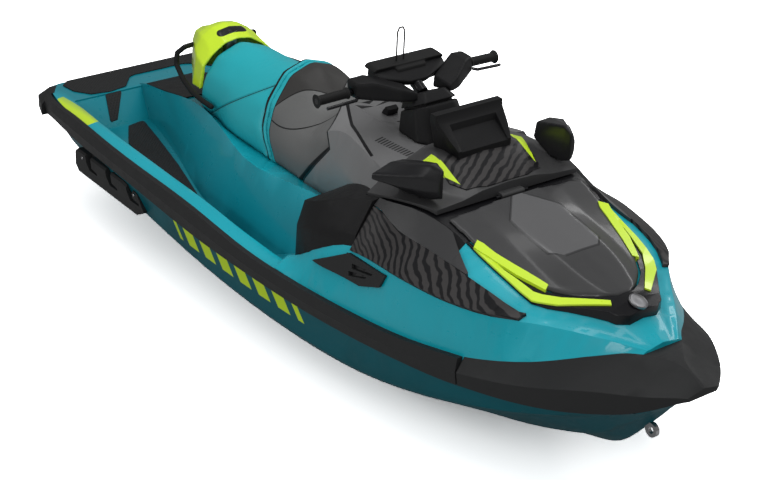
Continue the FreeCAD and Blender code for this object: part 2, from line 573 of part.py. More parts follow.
free_form("seat_front", main_piece(front_seat.cut(fore_side).common(pommel)))
strap = table_loft(FRONT_SEAT_SHARES, grow=size.strap_rise).cut(plain_deck)
strap_gap = Vector(size.seam_gap, 0, 0)
aft_side.translate(strap_gap)
fore_side.translate(-strap_gap)
free_form("seat_strap", main_piece(strap.common(fore_side).cut(aft_side)))

# Console between the seat and the handlebar, spreading forward into wings
CONSOLE_SHARES = (
    (0.4464, (0, 1.06), (0.3822, 1.06), (0.4076, 1.16), (0.4013, 1.3), (0.3424, 1.47),
      (0.1656, 1.6), (0, 1.61)),
    (0.4754, (0, 1.06), (0.3885, 1.06), (0.4172, 1.2), (0.4108, 1.34), (0.3535, 1.55),
      (0.1656, 1.756), (0, 1.704)),
    (0.5217, (0, 1.06), (0.4013, 1.08), (0.4379, 1.24), (0.4347, 1.4), (0.3631, 1.696),
      (0.1688, 1.768), (0, 1.712)),
    (0.5652, (0, 1.06), (0.4299, 1.1), (0.4936, 1.31), (0.4904, 1.47), (0.4108, 1.704),
      (0.1783, 1.764), (0, 1.72)),
    (0.6029, (0, 1.06), (0.4777, 1.16), (0.5605, 1.4), (0.5494, 1.53), (0.465, 1.71),
      (0.1911, 1.768), (0, 1.732)),
    (0.6275, (0, 1.06), (0.5096, 1.2), (0.6019, 1.49), (0.5892, 1.58), (0.5096, 1.716),
      (0.2006, 1.772), (0, 1.744)),
)
console_loft = table_loft(CONSOLE_SHARES)
pommel.translate(AHEAD * size.running_gap)
console = console_loft.cut(plain_deck).cut(pommel)
GLOVE_SHARES = ((0.4899, 1.4), (0.5397, 1.4))
glove_start, glove_end = (place for place, _ in profile(GLOVE_SHARES))
glove_floor = profile(GLOVE_SHARES)[0][1]
COLUMN_SHARES = (0.5797, 0, 1.86)
column_point = spot(COLUMN_SHARES)
tilt = math.radians(size.column_tilt)
column_axis = Vector(-math.sin(tilt), 0, math.cos(tilt))
steering_bore = rod(column_point - column_axis * size.steering_bore_depth,
                    column_point + column_axis * 2 * size.steering_bore_depth,
                    size.steering_bore_radius)
console = console.cut(box(glove_start, glove_end, -size.glove_half_width, size.glove_half_width,
                          glove_floor, 2 * size.moulded_depth))
console = console.cut(steering_bore)
GLOVE_TOP_SHARE = 1.72
glove_hinge = Vector(glove_end - size.lid_gap / 2, 0, GLOVE_TOP_SHARE * size.moulded_depth)
glove_top = follow([0.0, size.glove_half_width], [glove_hinge.z, glove_hinge.z + size.lid_rise])
hinge_end = size.hinge_half_width + size.hinge_end_width
knuckle = rod(glove_hinge - PORT * size.hinge_half_width, glove_hinge + PORT * size.hinge_half_width,
              size.hinge_radius)
knuckle_room = rod(glove_hinge - PORT * (size.hinge_half_width + size.seam_gap),
                   glove_hinge + PORT * (size.hinge_half_width + size.seam_gap),
                   size.hinge_radius + size.seam_gap)
ends = rod(glove_hinge - PORT * hinge_end, glove_hinge + PORT * hinge_end, size.hinge_radius)
ends_room = rod(glove_hinge - PORT * (hinge_end + size.seam_gap),
                glove_hinge + PORT * (hinge_end + size.seam_gap),
                size.hinge_radius + size.seam_gap)
console = console.cut(knuckle_room).fuse(ends.cut(knuckle_room))
free_form("console_body", main_piece(console))
lid_inner = size.glove_half_width - size.lid_gap
lid = loft([glove_start + size.lid_gap, glove_end - size.lid_gap],
           lambda x: whole([(0, glove_top(0.0) - size.lid_thickness),
                            (lid_inner, glove_top(lid_inner) - size.lid_thickness),
                            (lid_inner, glove_top(lid_inner)), (0, glove_top(0.0))]))
lid = lid.cut(ends_room.cut(knuckle)).fuse(knuckle)
free_form("glovebox_lid", main_piece(lid))
LATCH_SHARES = ((0.5078, 1.69), (0.5194, 1.69), (0.5217, 1.77), (0.5171, 1.788), (0.5119, 1.744))
latch = plate(profile(LATCH_SHARES), -size.latch_half_width, size.latch_half_width).cut(lid)
free_form("lid_latch", main_piece(latch))

# Front hood lid with its panel, visor pod and mirrors
HOOD_SHARES = (
    (0.6293, (0, 1.4), (0.6242, 1.4), (0.6242, 1.6), (0.4777, 1.716), (0.2389, 1.83),
      (0, 1.844)),
    (0.6464, (0, 1.4), (0.6131, 1.4), (0.6131, 1.624), (0.4777, 1.712), (0.2516, 1.836),
      (0, 1.86)),
    (0.6667, (0, 1.4), (0.5828, 1.4), (0.5828, 1.644), (0.4299, 1.704), (0.2468, 1.82),
      (0, 1.844)),
    (0.6841, (0, 1.4), (0.551, 1.4), (0.551, 1.652), (0.3822, 1.692), (0.2309, 1.77), (0, 1.79)),
    (0.7014, (0, 1.4), (0.5191, 1.4), (0.5191, 1.656), (0.3424, 1.676), (0.215, 1.724),
      (0, 1.74)),
    (0.7119, (0, 1.4), (0.5016, 1.4), (0.5016, 1.652), (0.3185, 1.668), (0.1911, 1.7),
      (0, 1.712)),
)
hood_loft = table_loft(HOOD_SHARES)
hood_room = table_loft(HOOD_SHARES, grow=size.lid_gap)
hood = main_piece(hood_loft.cut(raised(plain_deck, size.hood_gap)))
hinge_room = rod(hood_hinge - PORT * hinge_span, hood_hinge + PORT * hinge_span,
                 size.hinge_radius + size.seam_gap)
barrel = rod(hood_hinge - PORT * size.hood_hinge_half_width,
             hood_hinge + PORT * size.hood_hinge_half_width,
             size.hinge_radius + size.hood_hinge_wall)
web = box(hood_hinge.x - 2 * size.skin - size.hinge_radius, hood_hinge.x,
          -size.hood_hinge_half_width, size.hood_hinge_half_width, hood_hinge.z,
          hood_hinge.z + size.hinge_radius + size.hood_hinge_wall)
hood = main_piece(hood.fuse(barrel).fuse(web).cut(hinge_room))
PANEL_SHARES = ((0.6623, -0.3025), (0.6623, 0.3025), (0.6875, 0.3121), (0.7032, 0.2643),
                (0.7099, 0.1433), (0.7107, 0), (0.7099, -0.1433),
                (0.7032, -0.2643), (0.6875, -0.3121))
panel = raised(hood_loft, size.panel_rise).common(tile(PANEL_SHARES, size.moulded_depth,
                                                       2 * size.moulded_depth))
panel = main_piece(panel.cut(hood_loft))
POD_SHARES = (
    (0.6362, (0, 1.76), (0.1879, 1.76), (0.2389, 2.036), (0.2389, 2.092), (0, 2.092)),
    (0.6446, (0, 1.76), (0.1879, 1.76), (0.2389, 2.036), (0.2389, 2.092), (0, 2.092)),
    (0.647, (0, 1.76), (0.1847, 1.76), (0.2325, 2), (0.2325, 2.044), (0, 2.044)),
    (0.6609, (0, 1.76), (0.1752, 1.76), (0.2134, 1.9), (0.2134, 1.952), (0, 1.952)),
    (0.6719, (0, 1.76), (0.1529, 1.76), (0.1879, 1.832), (0.1879, 1.876), (0, 1.876)),
)
RECESS_SHARES = ((0.6493, 2.12), (0.651, 1.97), (0.673, 1.864), (0.6899, 2))
RECESS_HALF_SHARE = 0.165
recess_half = RECESS_HALF_SHARE * size.half_beam
pod = table_loft(POD_SHARES, ruled=True)
pod = pod.cut(plate(profile(RECESS_SHARES), -recess_half, recess_half))
pod = main_piece(pod.cut(hood))
free_form("hood_lid", hood)
free_form("hood_panel", main_piece(panel.cut(pod)))
free_form("gauge_pod", pod)


MIRROR_SHARES = (
    (0.6507, (0.4618, 1.736), (0.4777, 1.864), (0.5732, 1.872), (0.6943, 1.824),
      (0.7006, 1.78), (0.6051, 1.744)),
    (0.6754, (0.4522, 1.676), (0.4618, 1.916), (0.535, 1.912), (0.6115, 1.844),
      (0.6146, 1.764), (0.5573, 1.7)),
    (0.6971, (0.449, 1.676), (0.4522, 1.956), (0.4936, 1.948), (0.5318, 1.864),
      (0.5318, 1.764), (0.5, 1.692)),
    (0.709, (0.4522, 1.712), (0.4522, 1.924), (0.4713, 1.912), (0.4873, 1.852), (0.4873, 1.78),
      (0.4745, 1.724)),
)
MIRROR_STEM_SHARES = ((0.6812, 0.465, 1.592), (0.6812, 0.4873, 1.76))
rows = []
for station, *outline in MIRROR_SHARES:
    corners = [spot((station, place, height)) for place, height in outline]
    rows.append(Part.makePolygon(corners + corners[:1]))
mirror = Part.makeLoft(rows, True, True)
mirror = mirror.fuse(rod(spot(MIRROR_STEM_SHARES[0]), spot(MIRROR_STEM_SHARES[1]),
                         size.mirror_foot_radius))
mirror = main_piece(mirror.cut(hood).cut(raised(plain_deck, size.hood_gap)))
free_form("mirror_port", mirror)
free_form("mirror_starboard", mirrored(mirror))


# Skins that follow the foredeck's own lines, sunk a little and cut back to seat on it

def over_deck(section, start, end):
    """Return the stretch of a skin between two places."""
    skin = foredeck_loft(section)
    return skin.common(box(start, end, -size.half_beam, size.half_beam, 0, size.hull_length))


def strip(low, high, low_share, high_share, rise):
    """Return the section of a strip between two lines of the deck."""
    def section(x):
        foot, head = low(x), high(x)
        run, climb = head[0] - foot[0], head[1] - foot[1]
        length = max(math.hypot(run, climb), size.seam_gap)
        out = (climb / length, -run / length)
        corners = []
        for share, depth in ((low_share, -size.skin), (high_share, -size.skin),
                             (high_share, rise), (low_share, rise)):
            corners.append((foot[0] + share * run + depth * out[0],
                            foot[1] + share * climb + depth * out[1]))
        return corners
    return section


def side_line(x):
    return deck_edge(x), rail_top(x)


def shoulder_line(x):
    return shoulder_width(x), shoulder_height(x)


def middle_line(x):
    return middle_width(x), middle_height(x)


def cowl_line(x):
    return cowl_width(x), cowl_height(x)


FAIRING_START_SHARE, FAIRING_END_SHARE, CAP_END_SHARE = 0.6493, 0.846, 0.79
fairing_start, fairing_end, cap_end = along((FAIRING_START_SHARE, FAIRING_END_SHARE, CAP_END_SHARE))
FAIRING_REACH_SHARE, CAP_REACH_SHARE = 0.99, 0.97
fairing = over_deck(strip(shoulder_line, middle_line, 0, FAIRING_REACH_SHARE, size.skin), fairing_start,
                    fairing_end)
fairing = main_piece(fairing.cut(plain_deck))
free_form("side_fairing_port", fairing)
free_form("side_fairing_starboard", mirrored(fairing))
CAP_SHARES = ((0.6493, 0.4777), (0.72, 0.4777), (0.7797, 0.5812), (0.7797, 0.7643),
              (0.6493, 0.7643))
cap = over_deck(strip(middle_line, cowl_line, 0, CAP_REACH_SHARE, size.skin), fairing_start,
                cap_end)
cap = cap.common(tile(CAP_SHARES, 0, 2 * size.moulded_depth))
cap = main_piece(cap.cut(plain_deck).cut(fairing).cut(hood_room))
free_form("fairing_caps", both(cap))

# Nose cowl with its raised middle, the black surround and the forked blades
COWL_EDGE_SHARES = ((0.722, 0), (0.722, 0.4761), (0.7536, 0.4634), (0.7971, 0.4172),
                    (0.8319, 0.3408), (0.858, 0.2389), (0.8754, 0.1274),
                    (0.8835, 0.0478), (0.8841, 0))
SURROUND_SHARES = ((0.7536, 0), (0.7536, 0.5255), (0.8116, 0.5255), (0.8406, 0.4777),
                   (0.8696, 0.3583), (0.8986, 0.207), (0.9101, 0.0955),
                   (0.9101, 0))
BULGE_SHARES = ((0.68, 0.9), (0.8, 1.1), (0.9, 0.5), (1.0, 0.2))
bulge = line(BULGE_SHARES, size.skin)


COWL_CROWN_SHARES = ((0.6, 0.4, 1.5, 0.0), (0.34, 1.0, 1.0, 1.2), (0.0, 1.0, 1.0, 1.4))


def cowl_section(x):
    """Return the cowl's half outline: its edge, then a crown raised over the middle."""
    width, edge, top = cowl_width(x), cowl_height(x), crest(x)
    crown = [(out * width, edge + (top - edge) * climb + thick * size.skin + swell * bulge(x))
             for out, climb, thick, swell in COWL_CROWN_SHARES]
    return whole([(0, top - size.skin), (width, edge - size.skin), (width, edge + size.skin)] +
                 crown)


LIP_SHARES = ((0.72, 0.6), (0.84, 0.8), (0.88, 2.2), (0.895, 3.0), (0.94, 3.0))
lip = line(LIP_SHARES, size.skin)


def surround_section(x):
    width, edge, top = cowl_width(x), cowl_height(x), crest(x)
    return whole([(0, top - size.skin), (width, edge - size.skin), (width, edge + lip(x)),
                  (0, top + lip(x))])


def half_tile(shares, radius=0.0):
    """Return an upright block over the foredeck, mirrored across the centreline."""
    block = tile(shares, size.moulded_depth, 2 * size.moulded_depth, radius)
    return block.fuse(mirrored(block))


cowl_outline = half_tile(COWL_EDGE_SHARES)
COWL_GAP_SHARES = (0.0009, 0.005)
cowl_room = half_tile([(x + COWL_GAP_SHARES[0], y + (COWL_GAP_SHARES[1] if y else 0))
                       for x, y in COWL_EDGE_SHARES])
COWL_SPAN_SHARES = (0.722, 0.912)
cowl_start, surround_end = along(COWL_SPAN_SHARES)
cowl = over_deck(cowl_section, cowl_start, surround_end).common(cowl_outline).cut(plain_deck)
cowl = main_piece(cowl)
free_form("nose_cowl", cowl)
surround = over_deck(surround_section, cowl_start, surround_end).common(half_tile(SURROUND_SHARES))
surround = main_piece(surround.cut(cowl_room).cut(plain_deck))
LOWER_BLADE_SHARES = ((0.76, 0.449), (0.7652, 0.4873), (0.8, 0.4825), (0.838, 0.4506),
                      (0.8609, 0.3535), (0.8922, 0.1401), (0.887, 0.121),
                      (0.8551, 0.2994), (0.8342, 0.3901), (0.8, 0.4331),
                      (0.771, 0.4395))
UPPER_BLADE_SHARES = ((0.7588, 0.4331), (0.7652, 0.4809), (0.7826, 0.4459), (0.8116, 0.4045),
                      (0.8397, 0.3344), (0.8362, 0.2994), (0.8087, 0.3503),
                      (0.7797, 0.3981), (0.7652, 0.414))
blades = []
for shares, rise in ((LOWER_BLADE_SHARES, 0.5), (UPPER_BLADE_SHARES, 0.9)):
    top = raised(foredeck_loft(surround_section), rise * size.skin)
    block = tile(shares, size.moulded_depth, 2 * size.moulded_depth)
    blades.append(block.common(top))
blade = blades[0].fuse(blades[1]).cut(plain_deck)
blade = blade.cut(cowl).cut(surround)
free_form("nose_surround", surround)
free_form("accent_blades", both(main_piece(blade)))

# Side vents with two slots each, and the speaker pods at the footwells' fore ends
VENT_SHARES = ((0.6006, 1.076), (0.6487, 1.256), (0.7107, 1.272), (0.7038, 1.168),
               (0.6754, 1.096))
VENT_SLOT_SHARES = (((0.6557, 1.148), (0.6846, 1.196), (0.6817, 1.168), (0.6574, 1.12)),
                    ((0.658, 1.208), (0.6928, 1.244), (0.6899, 1.212), (0.6597, 1.176)))
VENT_FOOT_SHARE = 0.1
vent = over_deck(strip(side_line, shoulder_line, VENT_FOOT_SHARE, 1, size.skin), 0,
                 size.hull_length)
vent = vent.common(plate(profile(VENT_SHARES), 0, size.half_beam)).cut(plain_deck).cut(fairing)
for shares in VENT_SLOT_SHARES:
    vent = vent.cut(plate(profile(shares), 0, size.half_beam))
vent = main_piece(vent)
free_form("side_vents", both(vent))
SPEAKER_SHARES = (
    (0.5559, (0.4777, 0.88), (0.8153, 0.88), (0.8057, 1.2), (0.7548, 1.376), (0.4777, 1.4)),
    (0.5609, (0.4777, 0.88), (0.8217, 0.88), (0.8121, 1.208), (0.7611, 1.388), (0.4777, 1.424)),
    (0.6087, (0.4777, 1), (0.8344, 1), (0.8089, 1.3), (0.7197, 1.524), (0.4777, 1.58)),
    (0.6487, (0.4777, 1.12), (0.8089, 1.12), (0.7739, 1.38), (0.6688, 1.6), (0.4777, 1.64)),
)
speaker = table_loft(SPEAKER_SHARES, centred=False).cut(plain_deck).cut(console_loft)
speaker = main_piece(speaker.cut(fairing).cut(cap).cut(vent).cut(hood_room))
free_form("speaker_pods", both(speaker))

# Steering column shroud, fixed to the console up to its seam
SHROUD_FOOT_SHARES = (0.5841, 0, 1.7)
FOOT_RING_SHARES = ((-0.0203, 0.1178, 0), (-0.013, 0.1783, 0), (0.0246, 0.1975, 0), (0.0406, 0.1274, 0))
SEAM_RING_SHARES = ((-0.0151, 0.0796, 0), (-0.0104, 0.1338, 0), (0.0168, 0.1592, 0), (0.0249, 0.0987, 0))


def slice_outline(outline, centre, lean):
    """Return a closed outline on both sides of the centreline, tilted with the column."""
    half = []
    for shares in outline:
        point = spot(shares)
        half.append(centre + Vector(point.x, point.y, point.x * lean))
    corners = half + [Vector(p.x, -p.y, p.z) for p in reversed(half)]
    return Part.makePolygon(corners + corners[:1])


shroud_foot = spot(SHROUD_FOOT_SHARES)
shroud_seam = column_point + column_axis * size.column_rise
column = Part.makeLoft([slice_outline(FOOT_RING_SHARES, shroud_foot, 0.0),
                        slice_outline(SEAM_RING_SHARES, shroud_seam, math.tan(tilt))], True, True)
column = column.cut(console_loft).cut(plain_deck).cut(steering_bore)
column = main_piece(column.cut(hood_room))
free_form("steering_column", column)

# Handlebar, turning on a pin in the column
COVER_RING_SHARES = ((-0.011, 0.0637, 0), (-0.007, 0.0987, 0), (0.0133, 0.1083, 0), (0.0191, 0.0701, 0))
cover_foot = shroud_seam + column_axis * size.running_gap
cover_top = cover_foot + column_axis * size.column_rise
cover = Part.makeLoft([slice_outline(SEAM_RING_SHARES, cover_foot, math.tan(tilt)),
                       slice_outline(COVER_RING_SHARES, cover_top, math.tan(tilt))], True, True)
BAR_SHARES = ((-0.0255, 0, 0.216), (-0.0284, 0.1592, 0.224), (-0.0325, 0.3424, 0.224),
              (-0.0357, 0.6433, 0.206))
bar_points = [column_point + spot(shares) for shares in BAR_SHARES]
port_bar = bar_points[1:]
stem_top = bar_points[0]
bar = hose([Vector(p.x, -p.y, p.z) for p in reversed(port_bar)] + [stem_top] + port_bar,
           size.bar_radius)
pin = rod(column_point - column_axis * size.steering_pin_depth, cover_foot,
          size.steering_pin_radius)
pin = pin.fuse(rod(cover_foot, column_point + column_axis * 2 * size.column_rise, size.clamp_radius / 2))
STEM_RISE_SHARE, STEM_GIRTH_SHARE = 2.1, 0.67
stem = rod(column_point + column_axis * STEM_RISE_SHARE * size.column_rise, stem_top,
           size.clamp_radius * STEM_GIRTH_SHARE)
handlebar = bar.fuse(pin).fuse(stem)
HOUSING_SHARES = (
    (0.1115, (-0.0203, 0.144), (0.0099, 0.168), (0.0081, 0.232), (-0.0191, 0.24)),
    (0.207, (-0.0278, 0.164), (0.0035, 0.168), (0.0006, 0.268), (-0.029, 0.276)),
    (0.3185, (-0.0365, 0.168), (-0.0099, 0.176), (-0.0128, 0.312), (-0.0394, 0.32)),
    (0.4172, (-0.04, 0.18), (-0.0214, 0.188), (-0.0243, 0.3), (-0.0423, 0.304)),
)
PAD_SHARES = (
    (-0.2516, (-0.0528, 0.316), (-0.0354, 0.304), (-0.0325, 0.344), (-0.0528, 0.356)),
    (0.2516, (-0.0528, 0.316), (-0.0354, 0.304), (-0.0325, 0.344), (-0.0528, 0.356)),
)
PAD_FOOT_SHARES = (
    (-0.1051, (-0.0487, 0.212), (-0.0278, 0.212), (-0.0296, 0.32), (-0.047, 0.32)),
    (0.1051, (-0.0487, 0.212), (-0.0278, 0.212), (-0.0296, 0.32), (-0.047, 0.32)),
)


def cross_loft(table):
    """Loft outlines that lie side by side across the craft, about the steering column."""
    rows = []
    for side_place, *corners in table:
        outline = [column_point + spot((x, side_place, z)) for x, z in corners]
        rows.append(Part.makePolygon(outline + outline[:1]))
    return Part.makeLoft(rows, True, True)


housing = main_piece(cross_loft(HOUSING_SHARES).cut(handlebar).cut(cover))
PAD_EDGE_SHARES = (0, 0, 0.33)
pad = cross_loft(PAD_SHARES)
pad_edges = [edge for edge in pad.Edges
             if abs(edge.Vertexes[0].Y - edge.Vertexes[-1].Y) < size.seam_gap
             and abs(edge.Vertexes[0].X - edge.Vertexes[-1].X) > size.cut_overrun
             and edge.CenterOfMass.z > column_point.z + spot(PAD_EDGE_SHARES).z]
pad = pad.makeChamfer(size.skin, pad_edges)
pad = pad.fuse(cross_loft(PAD_FOOT_SHARES)).cut(handlebar).cut(cover).cut(both(housing))
cover = main_piece(cover.cut(handlebar))
tip, elbow = bar_points[3], bar_points[2]
outward = (tip - elbow).normalize()
grip_root = tip - outward * size.grip_length
grip = rod(grip_root, tip, size.grip_radius)
flare = Part.makeCone(size.grip_radius, size.grip_radius + size.grip_flare, size.skin,
                      tip - outward * size.skin, outward)
grip = grip.fuse(flare).fuse(Part.makeCone(size.grip_radius + size.grip_flare / 2, size.grip_radius,
                                           size.skin, grip_root, outward))
grip = grip.cut(handlebar).cut(housing)
LEVER_SHARES = ((-0.0243, 0.3981, 0.208), (-0.018, 0.4395, 0.2), (-0.0191, 0.5255, 0.192),
                (-0.0214, 0.6242, 0.18))
lever = hose([column_point + spot(shares) for shares in LEVER_SHARES], size.lever_radius)
lever = main_piece(lever.cut(housing).cut(grip))
LOOP_SHARES = (-0.0406, -0.0446, 0.34)
loop_foot = column_point + spot(LOOP_SHARES)
loop_points = [Vector(0, -size.loop_half_width, 0),
               Vector(0, -size.loop_half_width, size.loop_height - size.loop_half_width),
               Vector(0, -size.loop_half_width / 2, size.loop_height),
               Vector(0, size.loop_half_width / 2, size.loop_height),
               Vector(0, size.loop_half_width, size.loop_height - size.loop_half_width),
               Vector(0, size.loop_half_width, 0)]
loop = hose([loop_foot + point for point in loop_points], size.loop_wire_radius).cut(pad)
free_form("handlebar", handlebar)
free_form("steering_cover", cover)
free_form("grips", both(main_piece(grip)))
free_form("switch_housings", both(housing))
free_form("control_levers", both(lever))
free_form("handlebar_pad", main_piece(pad))
free_form("tether_loop", main_piece(loop))

# Tow pylon: a hollow hood on a post that slides up through the deck
PYLON_HOOD_SHARES = (
    (0.16, (0, 1.28), (0.1497, 1.28), (0.1433, 1.54), (0.121, 1.612), (0.0732, 1.636),
      (0, 1.644)),
    (0.1797, (0, 1.28), (0.2134, 1.28), (0.1975, 1.56), (0.1592, 1.64), (0.0924, 1.686),
      (0, 1.704)),
    (0.1913, (0, 1.28), (0.2516, 1.28), (0.2325, 1.55), (0.1783, 1.64), (0.0955, 1.702),
      (0, 1.724)),
    (0.2029, (0, 1.28), (0.293, 1.28), (0.258, 1.516), (0.1815, 1.624), (0.0955, 1.684),
      (0, 1.704)),
    (0.2209, (0, 1.28), (0.2994, 1.28), (0.2739, 1.476), (0.2134, 1.548), (0.1051, 1.636),
      (0, 1.656)),
)
PYLON_ROOM_SHARES = (
    (0.1629, (0, 1.2), (0.1274, 1.2), (0.1242, 1.528), (0.1051, 1.584), (0.0637, 1.604),
      (0, 1.612)),
    (0.1797, (0, 1.2), (0.1911, 1.2), (0.1783, 1.54), (0.1433, 1.612), (0.0828, 1.652),
      (0, 1.664)),
    (0.2029, (0, 1.2), (0.2707, 1.2), (0.2389, 1.496), (0.1688, 1.592), (0.0924, 1.644),
      (0, 1.66)),
    (0.229, (0, 1.2), (0.2803, 1.2), (0.2516, 1.456), (0.1975, 1.524), (0.0955, 1.61),
      (0, 1.63)),
)
hood_form = table_loft(PYLON_HOOD_SHARES, True)
hood_cap = hood_form.cut(table_loft(PYLON_ROOM_SHARES, True))
NOTCH_SHARES = (0.1745, 0, 1.528)
notch = spot(NOTCH_SHARES)
notch_walls = Part.makeBox(size.notch_reach, 2 * (size.notch_half_width + size.hood_gap),
                           size.notch_depth, notch - Vector(size.notch_reach - size.hood_gap,
                                                            size.notch_half_width + size.hood_gap,
                                                            size.skin))
notch_walls = notch_walls.common(hood_form)
notch_room = Part.makeBox(size.notch_reach, 2 * size.notch_half_width, size.notch_depth,
                          notch - Vector(size.notch_reach, size.notch_half_width, 0))
hood_cap = hood_cap.fuse(notch_walls).cut(notch_room)
post = Part.makeCylinder(size.post_radius, 2 * size.pylon_travel + size.post_overlap,
                         Vector(pylon_foot.x, 0, size.post_foot))
free_form("pylon_post", post)
hood_cap = main_piece(hood_cap.cut(post))
free_form("pylon_hood", hood_cap)
pin_foot = notch - Vector(size.notch_reach / 2, 0, 0)
tow = Part.makeCylinder(size.tow_pin_radius, size.tow_pin_height, pin_foot)
tow = tow.fuse(Part.makeCylinder(size.tow_head_radius, size.tow_head_height,
                                 pin_foot + UP * size.tow_pin_height))
free_form("tow_pin", tow)
GRAB_SHARES = ((0.1739, 0.1592, 1.536), (0.1803, 0.2675, 1.548), (0.1722, 0.3025, 1.484),
               (0.1739, 0.3121, 1.388), (0.1928, 0.3248, 1.304), (0.2159, 0.3408, 1.26),
               (0.2435, 0.3535, 1.25), (0.2681, 0.3631, 1.254))
grab = hose([spot(shares) for shares in GRAB_SHARES], size.grab_radius)
grab = grab.cut(hood_form)
free_form("spotter_grips", both(main_piece(grab)))

# Engine, shaft and jet drive

def solid_of(kind, label, **sizes):
    """Return a plain solid whose sizes follow the sheet."""
    feature = document.addObject("Part::" + kind, label)
    for side, expression in sizes.items():
        feature.setExpression(side, expression)
    return feature


def place(feature, x=0.0, y=0.0, z=0.0, turn=None):
    """Put a solid where it belongs, before it is cut or joined."""
    feature.Placement = Placement(Vector(x, y, z), turn or Rotation())
    return feature


def joined(kind, label, base, tool):
    """Return the cut or the fusion of two solids."""
    feature = document.addObject("Part::" + kind, label)
    feature.Base, feature.Tool = base, tool
    return feature


ALONG_X = Rotation(UP, AHEAD)
engine = solid_of("Box", "engine_block", Length="Sizes.engine_length",
                  Width="Sizes.engine_width", Height="Sizes.engine_height")
keep(engine, "engine_block", x=size.engine_start, y=-size.engine_width / 2, z=size.engine_floor)
shaft_start = size.impeller_start + size.impeller_length
shaft = solid_of("Cylinder", "driveshaft", Radius="Sizes.shaft_radius",
                 Height="Sizes.engine_start - Sizes.impeller_start - Sizes.impeller_length"
                        " - Sizes.seam_gap")
keep(shaft, "driveshaft", x=shaft_start, z=size.pump_height, turn=ALONG_X)

blade_start = size.impeller_start + (size.impeller_length - size.blade_length) / 2
impeller = Part.makeCylinder(size.impeller_hub_radius, size.impeller_length,
                             pump_axis + AHEAD * size.impeller_start, AHEAD)
blade_box = box(blade_start, blade_start + size.blade_length, -size.blade_thickness / 2,
                size.blade_thickness / 2, size.pump_height, size.pump_height + size.impeller_radius)
blade_box.rotate(pump_axis + AHEAD * (blade_start + size.blade_length / 2), UP, size.column_tilt)
for index in range(int(size.blade_count)):
    turned = blade_box.copy()
    turned.rotate(pump_axis, AHEAD, 360 * index / size.blade_count)
    impeller = impeller.fuse(turned)
impeller = impeller.fuse(Part.makeCylinder(size.pin_radius, size.stator_length, pump_axis + AHEAD *
                                           (size.impeller_start - size.stator_length), AHEAD))
free_form("impeller", impeller)

pump = Part.makeCylinder(size.pump_radius, size.pump_length, pump_axis + AHEAD * size.pump_start,
                         AHEAD)
flange_start = size.well_length - size.flange_thickness - size.seam_gap
flange = box(flange_start, flange_start + size.flange_thickness, -size.flange_reach,
             size.flange_reach, size.pump_height - size.pump_radius,
             size.pump_height + size.flange_reach)
pump = pump.fuse(flange)
pivot = Vector(size.nozzle_pivot, 0, size.pump_height)
lug_end = size.pump_start + size.stator_length / 2
for side in (1, -1):
    upright = box(size.nozzle_pivot, lug_end, -size.lug_radius, size.lug_radius,
                  size.pump_height + size.lug_height - size.lug_thickness / 2,
                  size.pump_height + size.lug_height + size.lug_thickness / 2)
    upright = upright.fuse(Part.makeCylinder(size.lug_radius, size.lug_thickness,
                                             pivot + UP * (size.lug_height - size.lug_thickness / 2)))
    cheek = box(size.nozzle_pivot, lug_end, size.pump_radius - size.vane_inset,
                size.pump_radius + size.lug_thickness, size.pump_height - size.lug_radius,
                size.pump_height + size.lug_radius)
    cheek_foot = pivot + PORT * (size.pump_radius - size.vane_inset)
    cheek = cheek.fuse(Part.makeCylinder(size.lug_radius, size.lug_thickness + size.vane_inset,
                                         cheek_foot, PORT))
    reach = size.bucket_arm_inner + size.bucket_plate + size.running_gap - size.pump_radius
    cheek = cheek.fuse(Part.makeCylinder(size.pin_radius, reach, cheek_foot, PORT))
    if side < 0:
        upright.rotate(pump_axis, AHEAD, 180)
        cheek = mirrored(cheek)
    pump = pump.fuse(upright).fuse(cheek)
pump = pump.cut(Part.makeCylinder(size.pump_bore_radius, size.pump_length + 2 * size.cut_overrun,
                                  pump_axis + AHEAD * (size.pump_start - size.cut_overrun), AHEAD))
pump = pump.cut(Part.makeCylinder(size.pin_radius + size.seam_gap, 3 * size.pump_radius,
                                  pivot - UP * 2 * size.pump_radius))
hub = Part.makeCylinder(size.impeller_hub_radius, size.stator_length,
                        pump_axis + AHEAD * size.pump_start, AHEAD)
vane = box(size.pump_start, size.pump_start + size.stator_length, -size.vane_thickness / 2,
           size.vane_thickness / 2, size.pump_height + size.impeller_hub_radius / 2,
           size.pump_height + size.pump_radius - size.vane_inset)
for index in range(int(size.vane_count)):
    turned = vane.copy()
    turned.rotate(pump_axis, AHEAD, 360 * index / size.vane_count)
    hub = hub.fuse(turned)
hub = hub.cut(Part.makeCylinder(size.pin_radius + size.seam_gap, size.pump_length,
                                pump_axis + AHEAD * size.pump_start, AHEAD))
free_form("pump_housing", main_piece(pump.fuse(hub)))

nozzle_foot = pivot + AHEAD * (size.nozzle_root_reach - size.nozzle_length)
nozzle = Part.makeCone(size.nozzle_mouth_radius + size.nozzle_wall,
                       size.nozzle_root_radius + size.nozzle_wall, size.nozzle_length, nozzle_foot,
                       AHEAD)
trunnion = size.lug_height + size.lug_thickness / 2
nozzle = nozzle.fuse(Part.makeCylinder(size.pin_radius, 2 * trunnion, pivot - UP * trunnion))
nozzle = nozzle.cut(Part.makeCone(size.nozzle_mouth_radius, size.nozzle_root_radius,
                                  size.nozzle_length, nozzle_foot, AHEAD))
free_form("steering_nozzle", main_piece(nozzle))

